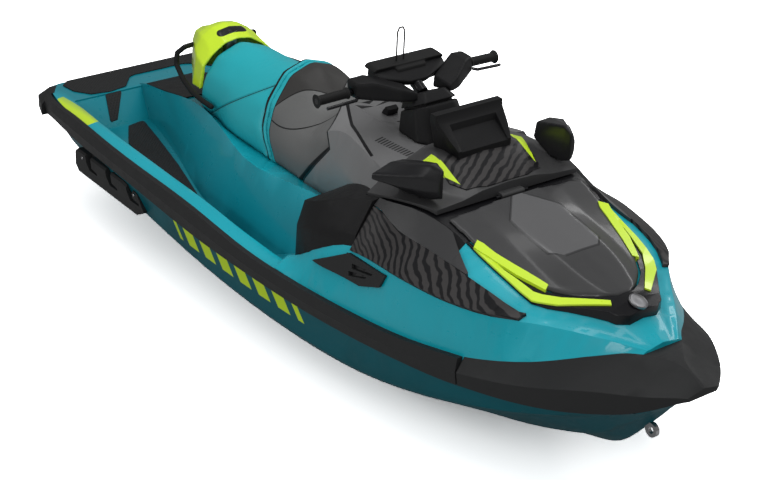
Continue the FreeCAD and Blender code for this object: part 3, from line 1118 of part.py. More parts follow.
arm_outer = size.bucket_arm_inner + size.bucket_plate
scoop = Part.makeCylinder(size.bucket_radius + size.bucket_plate, 2 * arm_outer,
                          pivot - PORT * arm_outer, PORT)
scoop = scoop.cut(Part.makeCylinder(size.bucket_radius, 2 * size.bucket_arm_inner,
                                    pivot - PORT * size.bucket_arm_inner, PORT))
BUCKET_SHARES = ((0.1, -0.06), (-1.8, 0.36), (-1.8, 3.6), (-0.06, 1.8))
wedge = plate([(pivot.x + x * size.bucket_radius, pivot.z + z * size.bucket_radius)
               for x, z in BUCKET_SHARES], -size.half_beam, size.half_beam)
bucket = main_piece(scoop.common(wedge))
for side in (1, -1):
    arm = pivot + PORT * (size.bucket_arm_inner if side > 0 else -arm_outer)
    bucket = bucket.fuse(Part.makeCylinder(size.lug_radius, size.bucket_plate, arm, PORT))
bucket = bucket.cut(Part.makeCylinder(size.pin_radius + size.seam_gap, 3 * arm_outer,
                                      pivot - PORT * 2 * arm_outer, PORT))
free_form("reverse_bucket", bucket)

ride = solid_of("Box", "ride_plate", Length="Sizes.ride_plate_length",
                Width="2 * Sizes.tunnel_half_width - 2 * Sizes.seam_gap",
                Height="Sizes.ride_plate_thickness")
keep(ride, "ride_plate", x=size.ride_plate_start, y=-size.tunnel_half_width + size.seam_gap,
     z=size.ride_plate_height)

grate = box(intake_end - 2 * size.grate_bar_width, intake_end, -size.intake_half_width,
            size.intake_half_width, size.grate_height, size.grate_height + size.grate_depth)
for index in range(int(size.grate_bar_count)):
    y = ((2 * index + 1) / size.grate_bar_count - 1) * size.intake_half_width
    grate = grate.fuse(box(size.intake_start, intake_end, y - size.grate_bar_width / 2,
                           y + size.grate_bar_width / 2, size.grate_height,
                           size.grate_height + size.grate_depth))
free_form("intake_grate", main_piece(grate.cut(hull)))

# Sponsons with three notches each, and the towing eyes
SPONSON_SHARES = ((0.1188, 0.536), (0.1275, 0.48), (0.2623, 0.464), (0.2783, 0.524),
                  (0.2623, 0.65), (0.2319, 0.684), (0.1246, 0.69),
                  (0.1188, 0.66))
NOTCH_SHARES = ((0, 0.696), (0.0116, 0.696), (0.0151, 0.6), (0.0278, 0.584), (0.029, 0.568),
                (0.0104, 0.568), (0.0023, 0.624))
NOTCH_START_SHARES = (0.145, 0.193, 0.241)
SPONSON_REACH_SHARES = (0.70, 0.925)
SPONSON_EDGE_SHARE = 0.9
sponson = plate(profile(SPONSON_SHARES), SPONSON_REACH_SHARES[0] * size.half_beam,
                SPONSON_REACH_SHARES[1] * size.half_beam)
outer_edges = [edge for edge in sponson.Edges
               if edge.CenterOfMass.y > SPONSON_EDGE_SHARE * size.half_beam]
sponson = sponson.makeChamfer(size.rail_lip, outer_edges)
sponson = sponson.cut(bare_hull)
for start in NOTCH_START_SHARES:
    notch = [(x + start * size.hull_length, z) for x, z in profile(NOTCH_SHARES)]
    sponson = sponson.cut(plate(notch, (SPONSON_REACH_SHARES[1] - 0.05) * size.half_beam,
                                size.half_beam))
free_form("sponsons", both(main_piece(sponson)))


def eye(middle):
    """Return an eye plate whose bore runs across the hull."""
    foot = middle - PORT * size.eye_thickness / 2
    ring_plate = Part.makeCylinder(size.eye_radius, size.eye_thickness, foot, PORT)
    return ring_plate.cut(Part.makeCylinder(size.eye_bore_radius, size.eye_thickness, foot, PORT))


BOW_EYE_SHARE = 0.934
bow_eye_ahead = BOW_EYE_SHARE * size.hull_length
bow_eye = eye(Vector(bow_eye_ahead + size.eye_radius / 2, 0, keel(bow_eye_ahead) - size.eye_radius / 2))
free_form("bow_eye", main_piece(bow_eye.cut(bare_hull)))
stern_eye = eye(Vector(size.stern_eye_ahead, size.stern_eye_side, size.stern_eye_height))
free_form("stern_eyes", both(main_piece(stern_eye.cut(bare_hull))))

document.recompute()
for item in document.Objects:
    if "Invalid" in item.State or "Error" in item.State:
        raise RuntimeError("%s failed: %s" % (item.Label, item.State))
for part in PARTS:
    if part.Shape.isNull() or not part.Shape.isValid():
        raise RuntimeError("%s has no valid shape" % part.Label)

os.makedirs("parts", exist_ok=True)
for part in PARTS:
    part.Shape.exportStep("parts/%s.step" % part.Label)
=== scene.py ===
import json
import math

import bmesh
import bpy
from mathutils import Matrix, Vector
from mathutils.bvhtree import BVHTree

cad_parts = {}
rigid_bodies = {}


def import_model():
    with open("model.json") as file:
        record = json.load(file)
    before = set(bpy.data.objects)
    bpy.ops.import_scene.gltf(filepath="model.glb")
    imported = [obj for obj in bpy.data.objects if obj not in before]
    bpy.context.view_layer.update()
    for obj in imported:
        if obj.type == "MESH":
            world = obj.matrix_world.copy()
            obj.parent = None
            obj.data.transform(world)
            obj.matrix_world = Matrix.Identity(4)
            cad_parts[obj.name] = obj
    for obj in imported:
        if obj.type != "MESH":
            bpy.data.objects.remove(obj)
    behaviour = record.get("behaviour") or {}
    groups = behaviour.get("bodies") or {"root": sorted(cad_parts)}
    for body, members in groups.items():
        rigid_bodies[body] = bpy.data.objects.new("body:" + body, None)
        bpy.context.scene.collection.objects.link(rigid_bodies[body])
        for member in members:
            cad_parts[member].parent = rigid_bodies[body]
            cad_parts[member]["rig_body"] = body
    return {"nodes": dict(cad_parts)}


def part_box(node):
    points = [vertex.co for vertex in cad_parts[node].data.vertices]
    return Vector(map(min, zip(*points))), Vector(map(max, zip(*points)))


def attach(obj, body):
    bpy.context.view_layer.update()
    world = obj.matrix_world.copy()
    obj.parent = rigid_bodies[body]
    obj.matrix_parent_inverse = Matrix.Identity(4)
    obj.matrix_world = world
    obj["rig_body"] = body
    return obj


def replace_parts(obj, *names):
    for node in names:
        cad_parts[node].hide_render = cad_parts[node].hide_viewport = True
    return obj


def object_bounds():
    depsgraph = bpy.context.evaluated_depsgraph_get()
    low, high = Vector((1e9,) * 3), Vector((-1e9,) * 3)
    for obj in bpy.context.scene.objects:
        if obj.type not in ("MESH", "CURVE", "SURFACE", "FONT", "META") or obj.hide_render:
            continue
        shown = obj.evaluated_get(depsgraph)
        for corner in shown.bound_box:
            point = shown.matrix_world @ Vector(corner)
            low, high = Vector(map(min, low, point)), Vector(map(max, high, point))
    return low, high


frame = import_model()
cad_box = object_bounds()
nodes = frame["nodes"]

# Place of the frame's origin, in metres from the stern's foot on the keel line
DATUM = Vector((1.45, 0.0, 0.24))


def at(x, y, z):
    """Turn millimetres from the stern's foot on the keel line into the frame's metres."""
    return Vector((x / 1000, y / 1000, z / 1000)) - DATUM


# Camera where the photograph was taken
CAMERA_PLACE = Vector((6.667, -3.852, 3.517)) - DATUM
CAMERA_HEADING, CAMERA_DROP, CAMERA_ROLL = (math.radians(a) for a in (141.91, 27.07, 2.38))
SENSOR_WIDTH, FOCAL_LENGTH, SIGHT_END = 36, 86.96, 60
lens = bpy.data.cameras.new("photo_camera")
lens.sensor_width, lens.lens, lens.clip_end = SENSOR_WIDTH, FOCAL_LENGTH, SIGHT_END
camera = bpy.data.objects.new("photo_camera", lens)
bpy.context.collection.objects.link(camera)
ahead = Vector((math.cos(CAMERA_HEADING) * math.cos(CAMERA_DROP),
                math.sin(CAMERA_HEADING) * math.cos(CAMERA_DROP), -math.sin(CAMERA_DROP)))
right = Vector((math.sin(CAMERA_HEADING), -math.cos(CAMERA_HEADING), 0))
above = right.cross(ahead)
across = math.cos(CAMERA_ROLL) * right + math.sin(CAMERA_ROLL) * above
upward = math.cos(CAMERA_ROLL) * above - math.sin(CAMERA_ROLL) * right
camera.matrix_world = Matrix.Translation(CAMERA_PLACE) @ Matrix(
    (across, upward, -ahead)).transposed().to_4x4()
bpy.context.scene.camera = camera
bpy.context.scene.view_settings.view_transform = "Standard"

# White floor just under the keel, and a pale studio round it
FLOOR_HALF, FLOOR_DROP = 30, 0.003
FLOOR_SEEN, FLOOR_FELT = 2.7, 0.32
SKY_COLOUR, SKY_FILL, SKY_MIRRORED = (0.98, 0.99, 1.0, 1), 0.5, 0.22


def node(tree, kind, **settings):
    """Add a shader node with its settings."""
    made = tree.nodes.new("ShaderNode" + kind)
    for name, value in settings.items():
        setattr(made, name, value)
    return made


def floor_finish():
    """White floor that keeps the craft's shadow and throws back little light."""
    finish = bpy.data.materials.new("studio_floor")
    finish.use_nodes = True
    tree = finish.node_tree
    tree.nodes.clear()
    out = node(tree, "OutputMaterial")
    seen = node(tree, "BsdfDiffuse")
    seen.inputs["Color"].default_value = (FLOOR_SEEN, FLOOR_SEEN, FLOOR_SEEN, 1)
    felt = node(tree, "BsdfDiffuse")
    felt.inputs["Color"].default_value = (FLOOR_FELT, FLOOR_FELT, FLOOR_FELT, 1)
    path = node(tree, "LightPath")
    pick = node(tree, "MixShader")
    tree.links.new(path.outputs["Is Camera Ray"], pick.inputs[0])
    tree.links.new(felt.outputs[0], pick.inputs[1])
    tree.links.new(seen.outputs[0], pick.inputs[2])
    tree.links.new(pick.outputs[0], out.inputs["Surface"])
    return finish


shape = bmesh.new()
bmesh.ops.create_grid(shape, x_segments=1, y_segments=1, size=FLOOR_HALF)
bmesh.ops.translate(shape, verts=shape.verts, vec=(0, 0, cad_box[0][2] - FLOOR_DROP))
floor_mesh = bpy.data.meshes.new("floor")
shape.to_mesh(floor_mesh)
shape.free()
floor = bpy.data.objects.new("floor", floor_mesh)
bpy.context.collection.objects.link(floor)
floor_mesh.materials.append(floor_finish())

world = bpy.data.worlds.new("studio")
bpy.context.scene.world = world
world.use_nodes = True
sky = world.node_tree
sky.nodes.clear()
sky_out = node(sky, "OutputWorld")
soft = node(sky, "Background")
soft.inputs["Color"].default_value = SKY_COLOUR
soft.inputs["Strength"].default_value = SKY_FILL
plain = node(sky, "Background")
plain.inputs["Color"].default_value = (1, 1, 1, 1)
plain.inputs["Strength"].default_value = 1.0
dim = node(sky, "Background")
dim.inputs["Strength"].default_value = SKY_MIRRORED
sky_path = node(sky, "LightPath")
sky_pick = node(sky, "MixShader")
sky_tint = node(sky, "MixShader")
sky.links.new(sky_path.outputs["Is Glossy Ray"], sky_tint.inputs[0])
sky.links.new(soft.outputs[0], sky_tint.inputs[1])
sky.links.new(dim.outputs[0], sky_tint.inputs[2])
sky.links.new(sky_path.outputs["Is Camera Ray"], sky_pick.inputs[0])
sky.links.new(sky_tint.outputs[0], sky_pick.inputs[1])
sky.links.new(plain.outputs[0], sky_pick.inputs[2])
sky.links.new(sky_pick.outputs[0], sky_out.inputs["Surface"])


def softbox(name, place, aim, width, height, power, mirrored=True):
    """Hang a rectangular lamp that faces a point."""
    lamp = bpy.data.lights.new(name, "AREA")
    lamp.shape, lamp.size, lamp.size_y, lamp.energy = "RECTANGLE", width, height, power
    hung = bpy.data.objects.new(name, lamp)
    bpy.context.collection.objects.link(hung)
    hung.location = place
    hung.visible_glossy = mirrored
    hung.rotation_euler = (Vector(aim) - Vector(place)).to_track_quat("-Z", "Y").to_euler()


softbox("overhead", (0.4, 0.4, 3.8), (0.2, 0, 0), 4.6, 3.0, 112, mirrored=False)
softbox("side_fill", (2.4, -4.6, 1.9), (0.3, 0, 0.2), 3.4, 1.6, 42, mirrored=False)
softbox("overhead_strip", (0.3, 0.5, 3.7), (0.3, 0, 0), 4.2, 0.5, 16)
softbox("front_strip", (4.4, -2.2, 2.4), (1.2, 0, 0.2), 0.35, 2.2, 15)
softbox("side_strip", (-0.6, -4.2, 2.4), (0.2, -0.4, 0.2), 4.2, 0.45, 30)
softbox("port_strip", (0.9, 4.0, 2.6), (0.5, 0.3, 0.4), 4.2, 0.5, 26)

# Shader groups: a fine grain, a slow drift of tone, and wavy stripes
GRAIN_CELLS, GRAIN_WEIGHT, GRAIN_DEPTH = 0.6, 0.6, 0.0005
SMUDGE_SWING, STRIPE_SWAY, STRIPE_RAMP = 0.16, 3.2, (0.05, 0.45)


def group(name, inputs, outputs):
    """Start a shader group with named inputs and outputs."""
    tree = bpy.data.node_groups.new(name, "ShaderNodeTree")
    for label, kind, value in inputs:
        socket = tree.interface.new_socket(name=label, in_out="INPUT",
                                           socket_type="NodeSocket" + kind)
        socket.default_value = value
    for label, kind in outputs:
        tree.interface.new_socket(name=label, in_out="OUTPUT", socket_type="NodeSocket" + kind)
    return tree, tree.nodes.new("NodeGroupInput"), tree.nodes.new("NodeGroupOutput")


def maths(tree, operation, first, second=None):
    """Add a sum whose terms are sockets or plain numbers."""
    made = node(tree, "Math", operation=operation)
    for index, term in enumerate((first, second)):
        if term is None:
            continue
        if isinstance(term, (int, float)):
            made.inputs[index].default_value = term
        else:
            tree.links.new(term, made.inputs[index])
    return made.outputs[0]


def noise(tree, place, detail, scale=None):
    """Add a noise over a surface's own places, and return its node."""
    made = node(tree, "TexNoise")
    made.inputs["Detail"].default_value = detail
    if scale is not None:
        made.inputs["Scale"].default_value = scale
    tree.links.new(place.outputs["Object"], made.inputs["Vector"])
    return made


def grain_group():
    """Moulded grain: fine noise over coarser cells."""
    tree, given, result = group("moulded_grain", [("Scale", "Float", 900.0)],
                                [("Height", "Float")])
    place = node(tree, "TexCoord")
    fine = noise(tree, place, 2.0)
    coarse = node(tree, "TexVoronoi")
    tree.links.new(place.outputs["Object"], coarse.inputs["Vector"])
    tree.links.new(given.outputs["Scale"], fine.inputs["Scale"])
    tree.links.new(maths(tree, "MULTIPLY", given.outputs["Scale"], GRAIN_CELLS),
                   coarse.inputs["Scale"])
    height = maths(tree, "ADD", maths(tree, "MULTIPLY", coarse.outputs["Distance"], GRAIN_WEIGHT),
                   maths(tree, "MULTIPLY", fine.outputs[0], GRAIN_WEIGHT))
    tree.links.new(height, result.inputs["Height"])
    return tree


def drift_group():
    """Slow drift of tone over a surface, and faint smudges of roughness."""
    tree, given, result = group("tone_drift", [("Colour", "Color", (1, 1, 1, 1)),
                                               ("Amount", "Float", 0.1),
                                               ("Roughness", "Float", 0.4)],
                                [("Colour", "Color"), ("Roughness", "Float")])
    place = node(tree, "TexCoord")
    slow = noise(tree, place, 3.0, 3.0)
    smudge = noise(tree, place, 4.0, 22.0)
    swing = maths(tree, "SUBTRACT", slow.outputs[0], 0.5)
    gain = maths(tree, "ADD", maths(tree, "MULTIPLY", swing, given.outputs["Amount"]), 1.0)
    tint = node(tree, "VectorMath", operation="SCALE")
    tree.links.new(given.outputs["Colour"], tint.inputs[0])
    tree.links.new(gain, tint.inputs["Scale"])
    tree.links.new(tint.outputs[0], result.inputs["Colour"])
    rough = maths(tree, "MULTIPLY", maths(tree, "SUBTRACT", smudge.outputs[0], 0.5), SMUDGE_SWING)
    tree.links.new(maths(tree, "ADD", rough, given.outputs["Roughness"]),
                   result.inputs["Roughness"])
    return tree


def stripes_group():
    """Wavy stripes that run along one direction and wander across it."""
    tree, given, result = group("wavy_stripes", [("Across", "Vector", (1, 0, 0)),
                                                 ("Pitch", "Float", 0.03),
                                                 ("Wander", "Float", 0.02)],
                                [("Mask", "Float")])
    place = node(tree, "TexCoord")
    slow = noise(tree, place, 1.5, 7.0)
    brisk = noise(tree, place, 1.0, 26.0)
    reach = node(tree, "VectorMath", operation="DOT_PRODUCT")
    tree.links.new(place.outputs["Object"], reach.inputs[0])
    tree.links.new(given.outputs["Across"], reach.inputs[1])
    sway = maths(tree, "MULTIPLY", maths(tree, "SUBTRACT", slow.outputs[0], 0.5),
                 maths(tree, "MULTIPLY", given.outputs["Wander"], STRIPE_SWAY))
    shake = maths(tree, "MULTIPLY", maths(tree, "SUBTRACT", brisk.outputs[0], 0.5),
                  given.outputs["Wander"])
    total = maths(tree, "ADD", reach.outputs["Value"], maths(tree, "ADD", sway, shake))
    turns = maths(tree, "DIVIDE", total, given.outputs["Pitch"])
    wave = maths(tree, "SINE", maths(tree, "MULTIPLY", turns, 2 * math.pi))
    ramp = node(tree, "MapRange", clamp=True)
    ramp.inputs["From Min"].default_value, ramp.inputs["From Max"].default_value = STRIPE_RAMP
    tree.links.new(wave, ramp.inputs["Value"])
    tree.links.new(ramp.outputs[0], result.inputs["Mask"])
    return tree


GRAIN, DRIFT, STRIPES = grain_group(), drift_group(), stripes_group()


def place_group(tree, which):
    """Place a shader group in a finish."""
    made = tree.nodes.new("ShaderNodeGroup")
    made.node_tree = which
    return made


def finish_of(name, colour, roughness, grain=(900.0, 0.15), drift=0.12, metallic=0.0, coat=0.0,
              specular=0.5, coat_roughness=0.08):
    """Start a moulded or painted finish: drifting tone, a fine grain and a plain shader."""
    made = bpy.data.materials.new(name)
    made.use_nodes = True
    tree = made.node_tree
    shader = tree.nodes["Principled BSDF"]
    shader.inputs["Metallic"].default_value = metallic
    shader.inputs["Coat Weight"].default_value = coat
    shader.inputs["Coat Roughness"].default_value = coat_roughness
    shader.inputs["Specular IOR Level"].default_value = specular
    tone = place_group(tree, DRIFT)
    tone.inputs["Colour"].default_value = (*colour, 1)
    tone.inputs["Amount"].default_value = drift
    tone.inputs["Roughness"].default_value = roughness
    tree.links.new(tone.outputs["Colour"], shader.inputs["Base Color"])
    tree.links.new(tone.outputs["Roughness"], shader.inputs["Roughness"])
    skin = place_group(tree, GRAIN)
    skin.inputs["Scale"].default_value, strength = grain
    bump = node(tree, "Bump")
    bump.inputs["Strength"].default_value = strength
    bump.inputs["Distance"].default_value = GRAIN_DEPTH
    tree.links.new(skin.outputs["Height"], bump.inputs["Height"])
    tree.links.new(bump.outputs[0], shader.inputs["Normal"])
    made.diffuse_color = (*colour, 1)
    return made


class Field:
    """A value that varies over a surface, built from sums of shader sockets."""

    SOFT = 0.0008

    def __init__(self, tree, socket):
        self.tree, self.socket = tree, socket

    def sum_with(self, operation, other):
        """Join this value to another, or to a plain number."""
        term = other.socket if isinstance(other, Field) else float(other)
        return Field(self.tree, maths(self.tree, operation, self.socket, term))

    def __add__(self, other):
        return self.sum_with("ADD", other)

    def __sub__(self, other):
        return self.sum_with("SUBTRACT", other)

    def __mul__(self, other):
        return self.sum_with("MULTIPLY", other)

    def size(self):
        """Drop the sign, so that both sides of the craft are alike."""
        return Field(self.tree, maths(self.tree, "ABSOLUTE", self.socket))

    def larger(self, other):
        """Take the larger of two values."""
        return self.sum_with("MAXIMUM", other)

    def smaller(self, other):
        """Take the smaller of two values."""
        return self.sum_with("MINIMUM", other)

    def wave(self):
        """Take the sine of an angle in radians."""
        return Field(self.tree, maths(self.tree, "SINE", self.socket))

    def step(self, soft=SOFT):
        """Rise from nothing to one where the value passes above nought."""
        ramp = node(self.tree, "Clamp")
        self.tree.links.new((self * (1 / soft) + 0.5).socket, ramp.inputs["Value"])
        return Field(self.tree, ramp.outputs[0])

    def over(self, limit, soft=SOFT):
        """Mark where the value is over a limit."""
        return (self - limit).step(soft)

    def under(self, limit, soft=SOFT):
        """Mark where the value is under a limit."""
        return (self * -1 + limit).step(soft)

    def between(self, low, high, soft=SOFT):
        """Mark where the value is between two limits."""
        return self.over(low, soft) * self.under(high, soft)


def places(material):
    """Return a surface's three hull coordinates, in metres from the stern's foot."""
    tree = material.node_tree
    place = node(tree, "TexCoord")
    split = node(tree, "SeparateXYZ")
    tree.links.new(place.outputs["Object"], split.inputs[0])
    return [Field(tree, split.outputs[axis]) + DATUM[axis] for axis in range(3)]


def line(along, rise, start):
    """Return where a straight line lies at a value, plain or varying."""
    return along * rise + start


def paint(material, mask, colour, roughness=None):
    """Lay another colour over a finish where a mask is one."""
    tree = material.node_tree
    shader = tree.nodes["Principled BSDF"]
    was = shader.inputs["Base Color"].links[0].from_socket
    mix = node(tree, "Mix", data_type="RGBA")
    tree.links.new(mask.socket, mix.inputs[0])
    tree.links.new(was, mix.inputs[6])
    mix.inputs[7].default_value = (*colour, 1)
    tree.links.new(mix.outputs[2], shader.inputs["Base Color"])
    if roughness is not None:
        was = shader.inputs["Roughness"].links[0].from_socket
        blend = node(tree, "Mix", data_type="FLOAT")
        tree.links.new(mask.socket, blend.inputs[0])
        tree.links.new(was, blend.inputs[2])
        blend.inputs[3].default_value = roughness
        tree.links.new(blend.outputs[0], shader.inputs["Roughness"])


def press(material, mask, depth):
    """Press a mask into a finish, or raise it where the depth is less than nothing."""
    tree = material.node_tree
    shader = tree.nodes["Principled BSDF"]
    was = shader.inputs["Normal"].links[0].from_socket
    bump = node(tree, "Bump", invert=depth > 0)
    bump.inputs["Strength"].default_value = 1.0
    bump.inputs["Distance"].default_value = abs(depth)
    tree.links.new(mask.socket, bump.inputs["Height"])
    tree.links.new(was, bump.inputs["Normal"])
    tree.links.new(bump.outputs[0], shader.inputs["Normal"])


TEAL, DEEP_TEAL, LIME = (0.003, 0.30, 0.37), (0.0006, 0.082, 0.105), (0.47, 0.66, 0.02)
BLACK, SEAT_TEAL, SEAT_GREY = (0.006, 0.006, 0.007), (0.012, 0.31, 0.355), (0.100, 0.101, 0.100)
deck_paint = finish_of("deck_gelcoat", TEAL, 0.3, grain=(300.0, 0.02), drift=0.18, specular=0.35,
                       coat=0.45, coat_roughness=0.08)
hull_paint = finish_of("hull_gelcoat", DEEP_TEAL, 0.4, grain=(300.0, 0.02), drift=0.18,
                       specular=0.2)
black_plastic = finish_of("black_plastic", (0.007, 0.007, 0.0075), 0.46, grain=(1100.0, 0.3),
                          specular=0.25)
mirror_plastic = finish_of("mirror_plastic", (0.008, 0.008, 0.009), 0.34, grain=(500.0, 0.05),
                           specular=0.5)
bumper_plastic = finish_of("bumper_plastic", (0.016, 0.0165, 0.017), 0.5, grain=(800.0, 0.35),
                           specular=0.3)
gloss_black = finish_of("gloss_black", BLACK, 0.22, grain=(500.0, 0.03), specular=0.4)
grey_plastic = finish_of("grey_plastic", (0.140, 0.140, 0.142), 0.34, grain=(500.0, 0.05),
                         metallic=0.3, specular=0.4, coat=0.2, coat_roughness=0.2)
hood_plastic = finish_of("hood_plastic", (0.042, 0.042, 0.043), 0.36, grain=(500.0, 0.05),
                         metallic=0.2, specular=0.4, coat=0.2, coat_roughness=0.2)
cowl_plastic = finish_of("cowl_plastic", (0.034, 0.034, 0.035), 0.34, grain=(500.0, 0.04),
                         specular=0.4, coat=0.3, coat_roughness=0.12)
lime_plastic = finish_of("lime_plastic", LIME, 0.3, grain=(500.0, 0.03), drift=0.08, coat=0.5)
rubber = finish_of("grip_rubber", (0.010, 0.010, 0.010), 0.6, grain=(700.0, 0.5), specular=0.25)
steel = finish_of("polished_steel", (0.62, 0.62, 0.63), 0.2, grain=(1800.0, 0.05), drift=0.05,
                  metallic=1.0)
alloy = finish_of("cast_alloy", (0.45, 0.46, 0.47), 0.42, grain=(500.0, 0.35), drift=0.1,
                  metallic=1.0)
engine_paint = finish_of("engine_paint", (0.1, 0.1, 0.1), 0.55, grain=(350.0, 0.6))
mirror_glass = finish_of("mirror_glass", (0.75, 0.77, 0.78), 0.04, grain=(200.0, 0.0), drift=0.02,
                         metallic=1.0)
disc_metal = finish_of("disc_metal", (0.30, 0.30, 0.31), 0.34, grain=(900.0, 0.1), metallic=0.9)
screen_glass = finish_of("screen_glass", (0.004, 0.005, 0.006), 0.08, grain=(300.0, 0.0), coat=0.8)
mat_foam = finish_of("mat_foam", (0.020, 0.0205, 0.021), 0.7, grain=(300.0, 0.3), specular=0.2)
teal_vinyl = finish_of("teal_vinyl", SEAT_TEAL, 0.4, grain=(420.0, 0.3), drift=0.16, specular=0.35)
dark_vinyl = finish_of("dark_vinyl", SEAT_GREY, 0.45, grain=(420.0, 0.35), drift=0.16,
                       specular=0.35)
strap_vinyl = finish_of("strap_vinyl", SEAT_TEAL, 0.4, grain=(420.0, 0.3), drift=0.16,
                        specular=0.35)

# Every place below is in metres from the stern's foot; a pair for a line is its rise and its start

# Lime bars along the hull's side
BAR_LEAN, BAR_PITCH, BAR_SHARE = 0.45, 0.118, 0.35
BAR_HEIGHTS, BAR_RUN = (0.262, 0.346), (1.34, 2.15)
x, y, z = places(hull_paint)
slant = x + z * BAR_LEAN
bars = (slant * (2 * math.pi / BAR_PITCH)).wave().over(-BAR_SHARE, soft=0.06)
paint(hull_paint, bars * (z.between(*BAR_HEIGHTS) * slant.between(*BAR_RUN)), LIME)

# Deck: a plain lime patch at the stern, painted shade that darkens the footwell, and painted shade
# in the gaps at the hood and caps and behind the side vents' slots
PATCH_RUN, PATCH_SIDE, PATCH_FOOT = (0.17, 0.50), 0.497, 0.462
WELL_TOP, WELL_SIDE, WELL_FRONT = 0.60, 0.50, 2.1
WELL_SHADE, WELL_SHADE_TEAL, GAP_SOFT = 0.75, (0.001, 0.13, 0.17), 0.004
HOOD_GAP_RUN, HOOD_GAP_FOOT = (2.30, 2.512), 0.735
CAP_GAP_RUN, CAP_GAP_ACROSS, CAP_GAP_FOOT = (2.16, 2.60), (0.28, 0.40), 0.72
VENT_RUN, VENT_TOP, VENT_SIDE = (2.22, 2.41), 0.622, 0.42
VENT_SILL, VENT_RAKE = (0.0388, 0.4636), (0.367, -0.3031)
x, y, z = places(deck_paint)
patch = x.between(*PATCH_RUN) * y.size().over(PATCH_SIDE) * z.over(PATCH_FOOT)
paint(deck_paint, patch, LIME)
# Painted shade: the footwell's floor and inner walls are darkened where shade falls in the recess
well_painted_shade = (z.under(WELL_TOP, soft=0.30) * y.size().under(WELL_SIDE, soft=0.06)
        * x.under(WELL_FRONT, soft=0.2))
paint(deck_paint, well_painted_shade * WELL_SHADE, WELL_SHADE_TEAL)
# Painted shade: the deck is painted black where it is seen in shade through the gaps at the hood
# and the caps
hood_gap_shade = x.between(*HOOD_GAP_RUN) * z.over(HOOD_GAP_FOOT, soft=GAP_SOFT)
paint(deck_paint, hood_gap_shade, BLACK)
cap_gap_shade = (x.between(*CAP_GAP_RUN) * y.size().between(*CAP_GAP_ACROSS)
           * z.over(CAP_GAP_FOOT, soft=GAP_SOFT))
paint(deck_paint, cap_gap_shade, BLACK)
# Painted shade: the deck is painted black behind the side vents' slots, where only shade is seen
vent_slot_shade = (x.between(*VENT_RUN) * z.over(line(x, *VENT_SILL)) * z.over(line(x, *VENT_RAKE))
              * z.under(VENT_TOP) * y.size().over(VENT_SIDE))
paint(deck_paint, vent_slot_shade, BLACK)

# Seats: the seam between them slants in two lines, and so does the front seat's nose
SEAM = ((-0.232, 1.4348), (-0.707, 1.7578))
POMMEL = ((0.791, 1.592 - 0.791 * 0.585), (-1.024, 1.732 + 1.024 * 0.762))


def seam_line(height):
    """Return how far along the seam between the seats lies, over a surface."""
    return line(height, *SEAM[0]).larger(line(height, *SEAM[1]))


def pommel_line(height):
    """Return how far along the front seat's nose lies, over a surface."""
    return line(height, *POMMEL[0]).smaller(line(height, *POMMEL[1]))


# Rear cushion with one stitched seam that crosses its side
CROSSING, CROSSING_SIDE, STITCH_HALF = (0.64, 0.022), 0.07, 0.0022
FOLD_HALF, FOLD_SOFT, FOLD_DEPTH = 0.006, 0.005, 0.004
STITCH_TEAL = (0.002, 0.03, 0.035)
x, y, z = places(teal_vinyl)
crossing = z - line(x, *CROSSING)
stitched = crossing.between(-STITCH_HALF, STITCH_HALF) * y.size().over(CROSSING_SIDE)
paint(teal_vinyl, stitched, STITCH_TEAL)
press(teal_vinyl, crossing.between(-FOLD_HALF, FOLD_HALF, soft=FOLD_SOFT), FOLD_DEPTH)

# Front cushion: painted shade that darkens the bolster behind an arc, a low side seam, a black
# nose, and a teal rim
BOLSTER_SPREAD, BOLSTER_BACK, BOLSTER_FOOT = 0.8, 1.468, 0.705
LOW_SEAM_HEIGHT, LOW_SEAM_MIDDLE, LOW_SEAM_BOW = 0.712, 1.38, -2.0
LOW_SEAM_SIDE, SEAM_HALF, SEAM_DEPTH = 0.1, 0.002, 0.003
WELT_RUN, POMMEL_BAND, POMMEL_FOOT = (0.0545, 0.058), 0.021, 0.56
BOLSTER_SHADE_GREY, SEAM_BLACK = (0.030, 0.029, 0.028), (0.010, 0.010, 0.010)
x, y, z = places(dark_vinyl)
ahead_of_strap = x - seam_line(z)
bolster = x + y.size() * BOLSTER_SPREAD - BOLSTER_BACK
arc = bolster.between(-SEAM_HALF, SEAM_HALF) * z.over(BOLSTER_FOOT)
off_middle = x - LOW_SEAM_MIDDLE
low_seam = ((z - LOW_SEAM_HEIGHT + off_middle * off_middle * LOW_SEAM_BOW)
            .between(-SEAM_HALF, SEAM_HALF) * y.size().over(LOW_SEAM_SIDE))
seams = low_seam.larger(arc).larger(ahead_of_strap.between(*WELT_RUN))
# Painted shade: the bolster behind the arc is darkened where shade falls on it
paint(dark_vinyl, bolster.under(0, soft=0.006) * z.over(BOLSTER_FOOT, soft=0.004), BOLSTER_SHADE_GREY)
nose_band = x.over(pommel_line(z) - POMMEL_BAND, soft=0.002) * z.over(POMMEL_FOOT)
paint(dark_vinyl, nose_band, BLACK)
paint(dark_vinyl, seams, SEAM_BLACK)
paint(dark_vinyl, ahead_of_strap.under(WELT_RUN[0]), SEAT_TEAL)
press(dark_vinyl, seams, SEAM_DEPTH)

# Strap with a black band along its rear half
STRAP_BAND, STRAP_BLACK = 0.0150, (0.009, 0.009, 0.009)
x, y, z = places(strap_vinyl)
paint(strap_vinyl, (x - seam_line(z)).under(STRAP_BAND), STRAP_BLACK, roughness=0.5)

# Mats ribbed in a fine diamond
RIB_TURN, RIB_RISE = 420.0, 0.0010
x, y, z = places(mat_foam)
ribs = ((x + y) * RIB_TURN).wave().larger(((x - y) * RIB_TURN).wave())
press(mat_foam, ribs, -RIB_RISE)

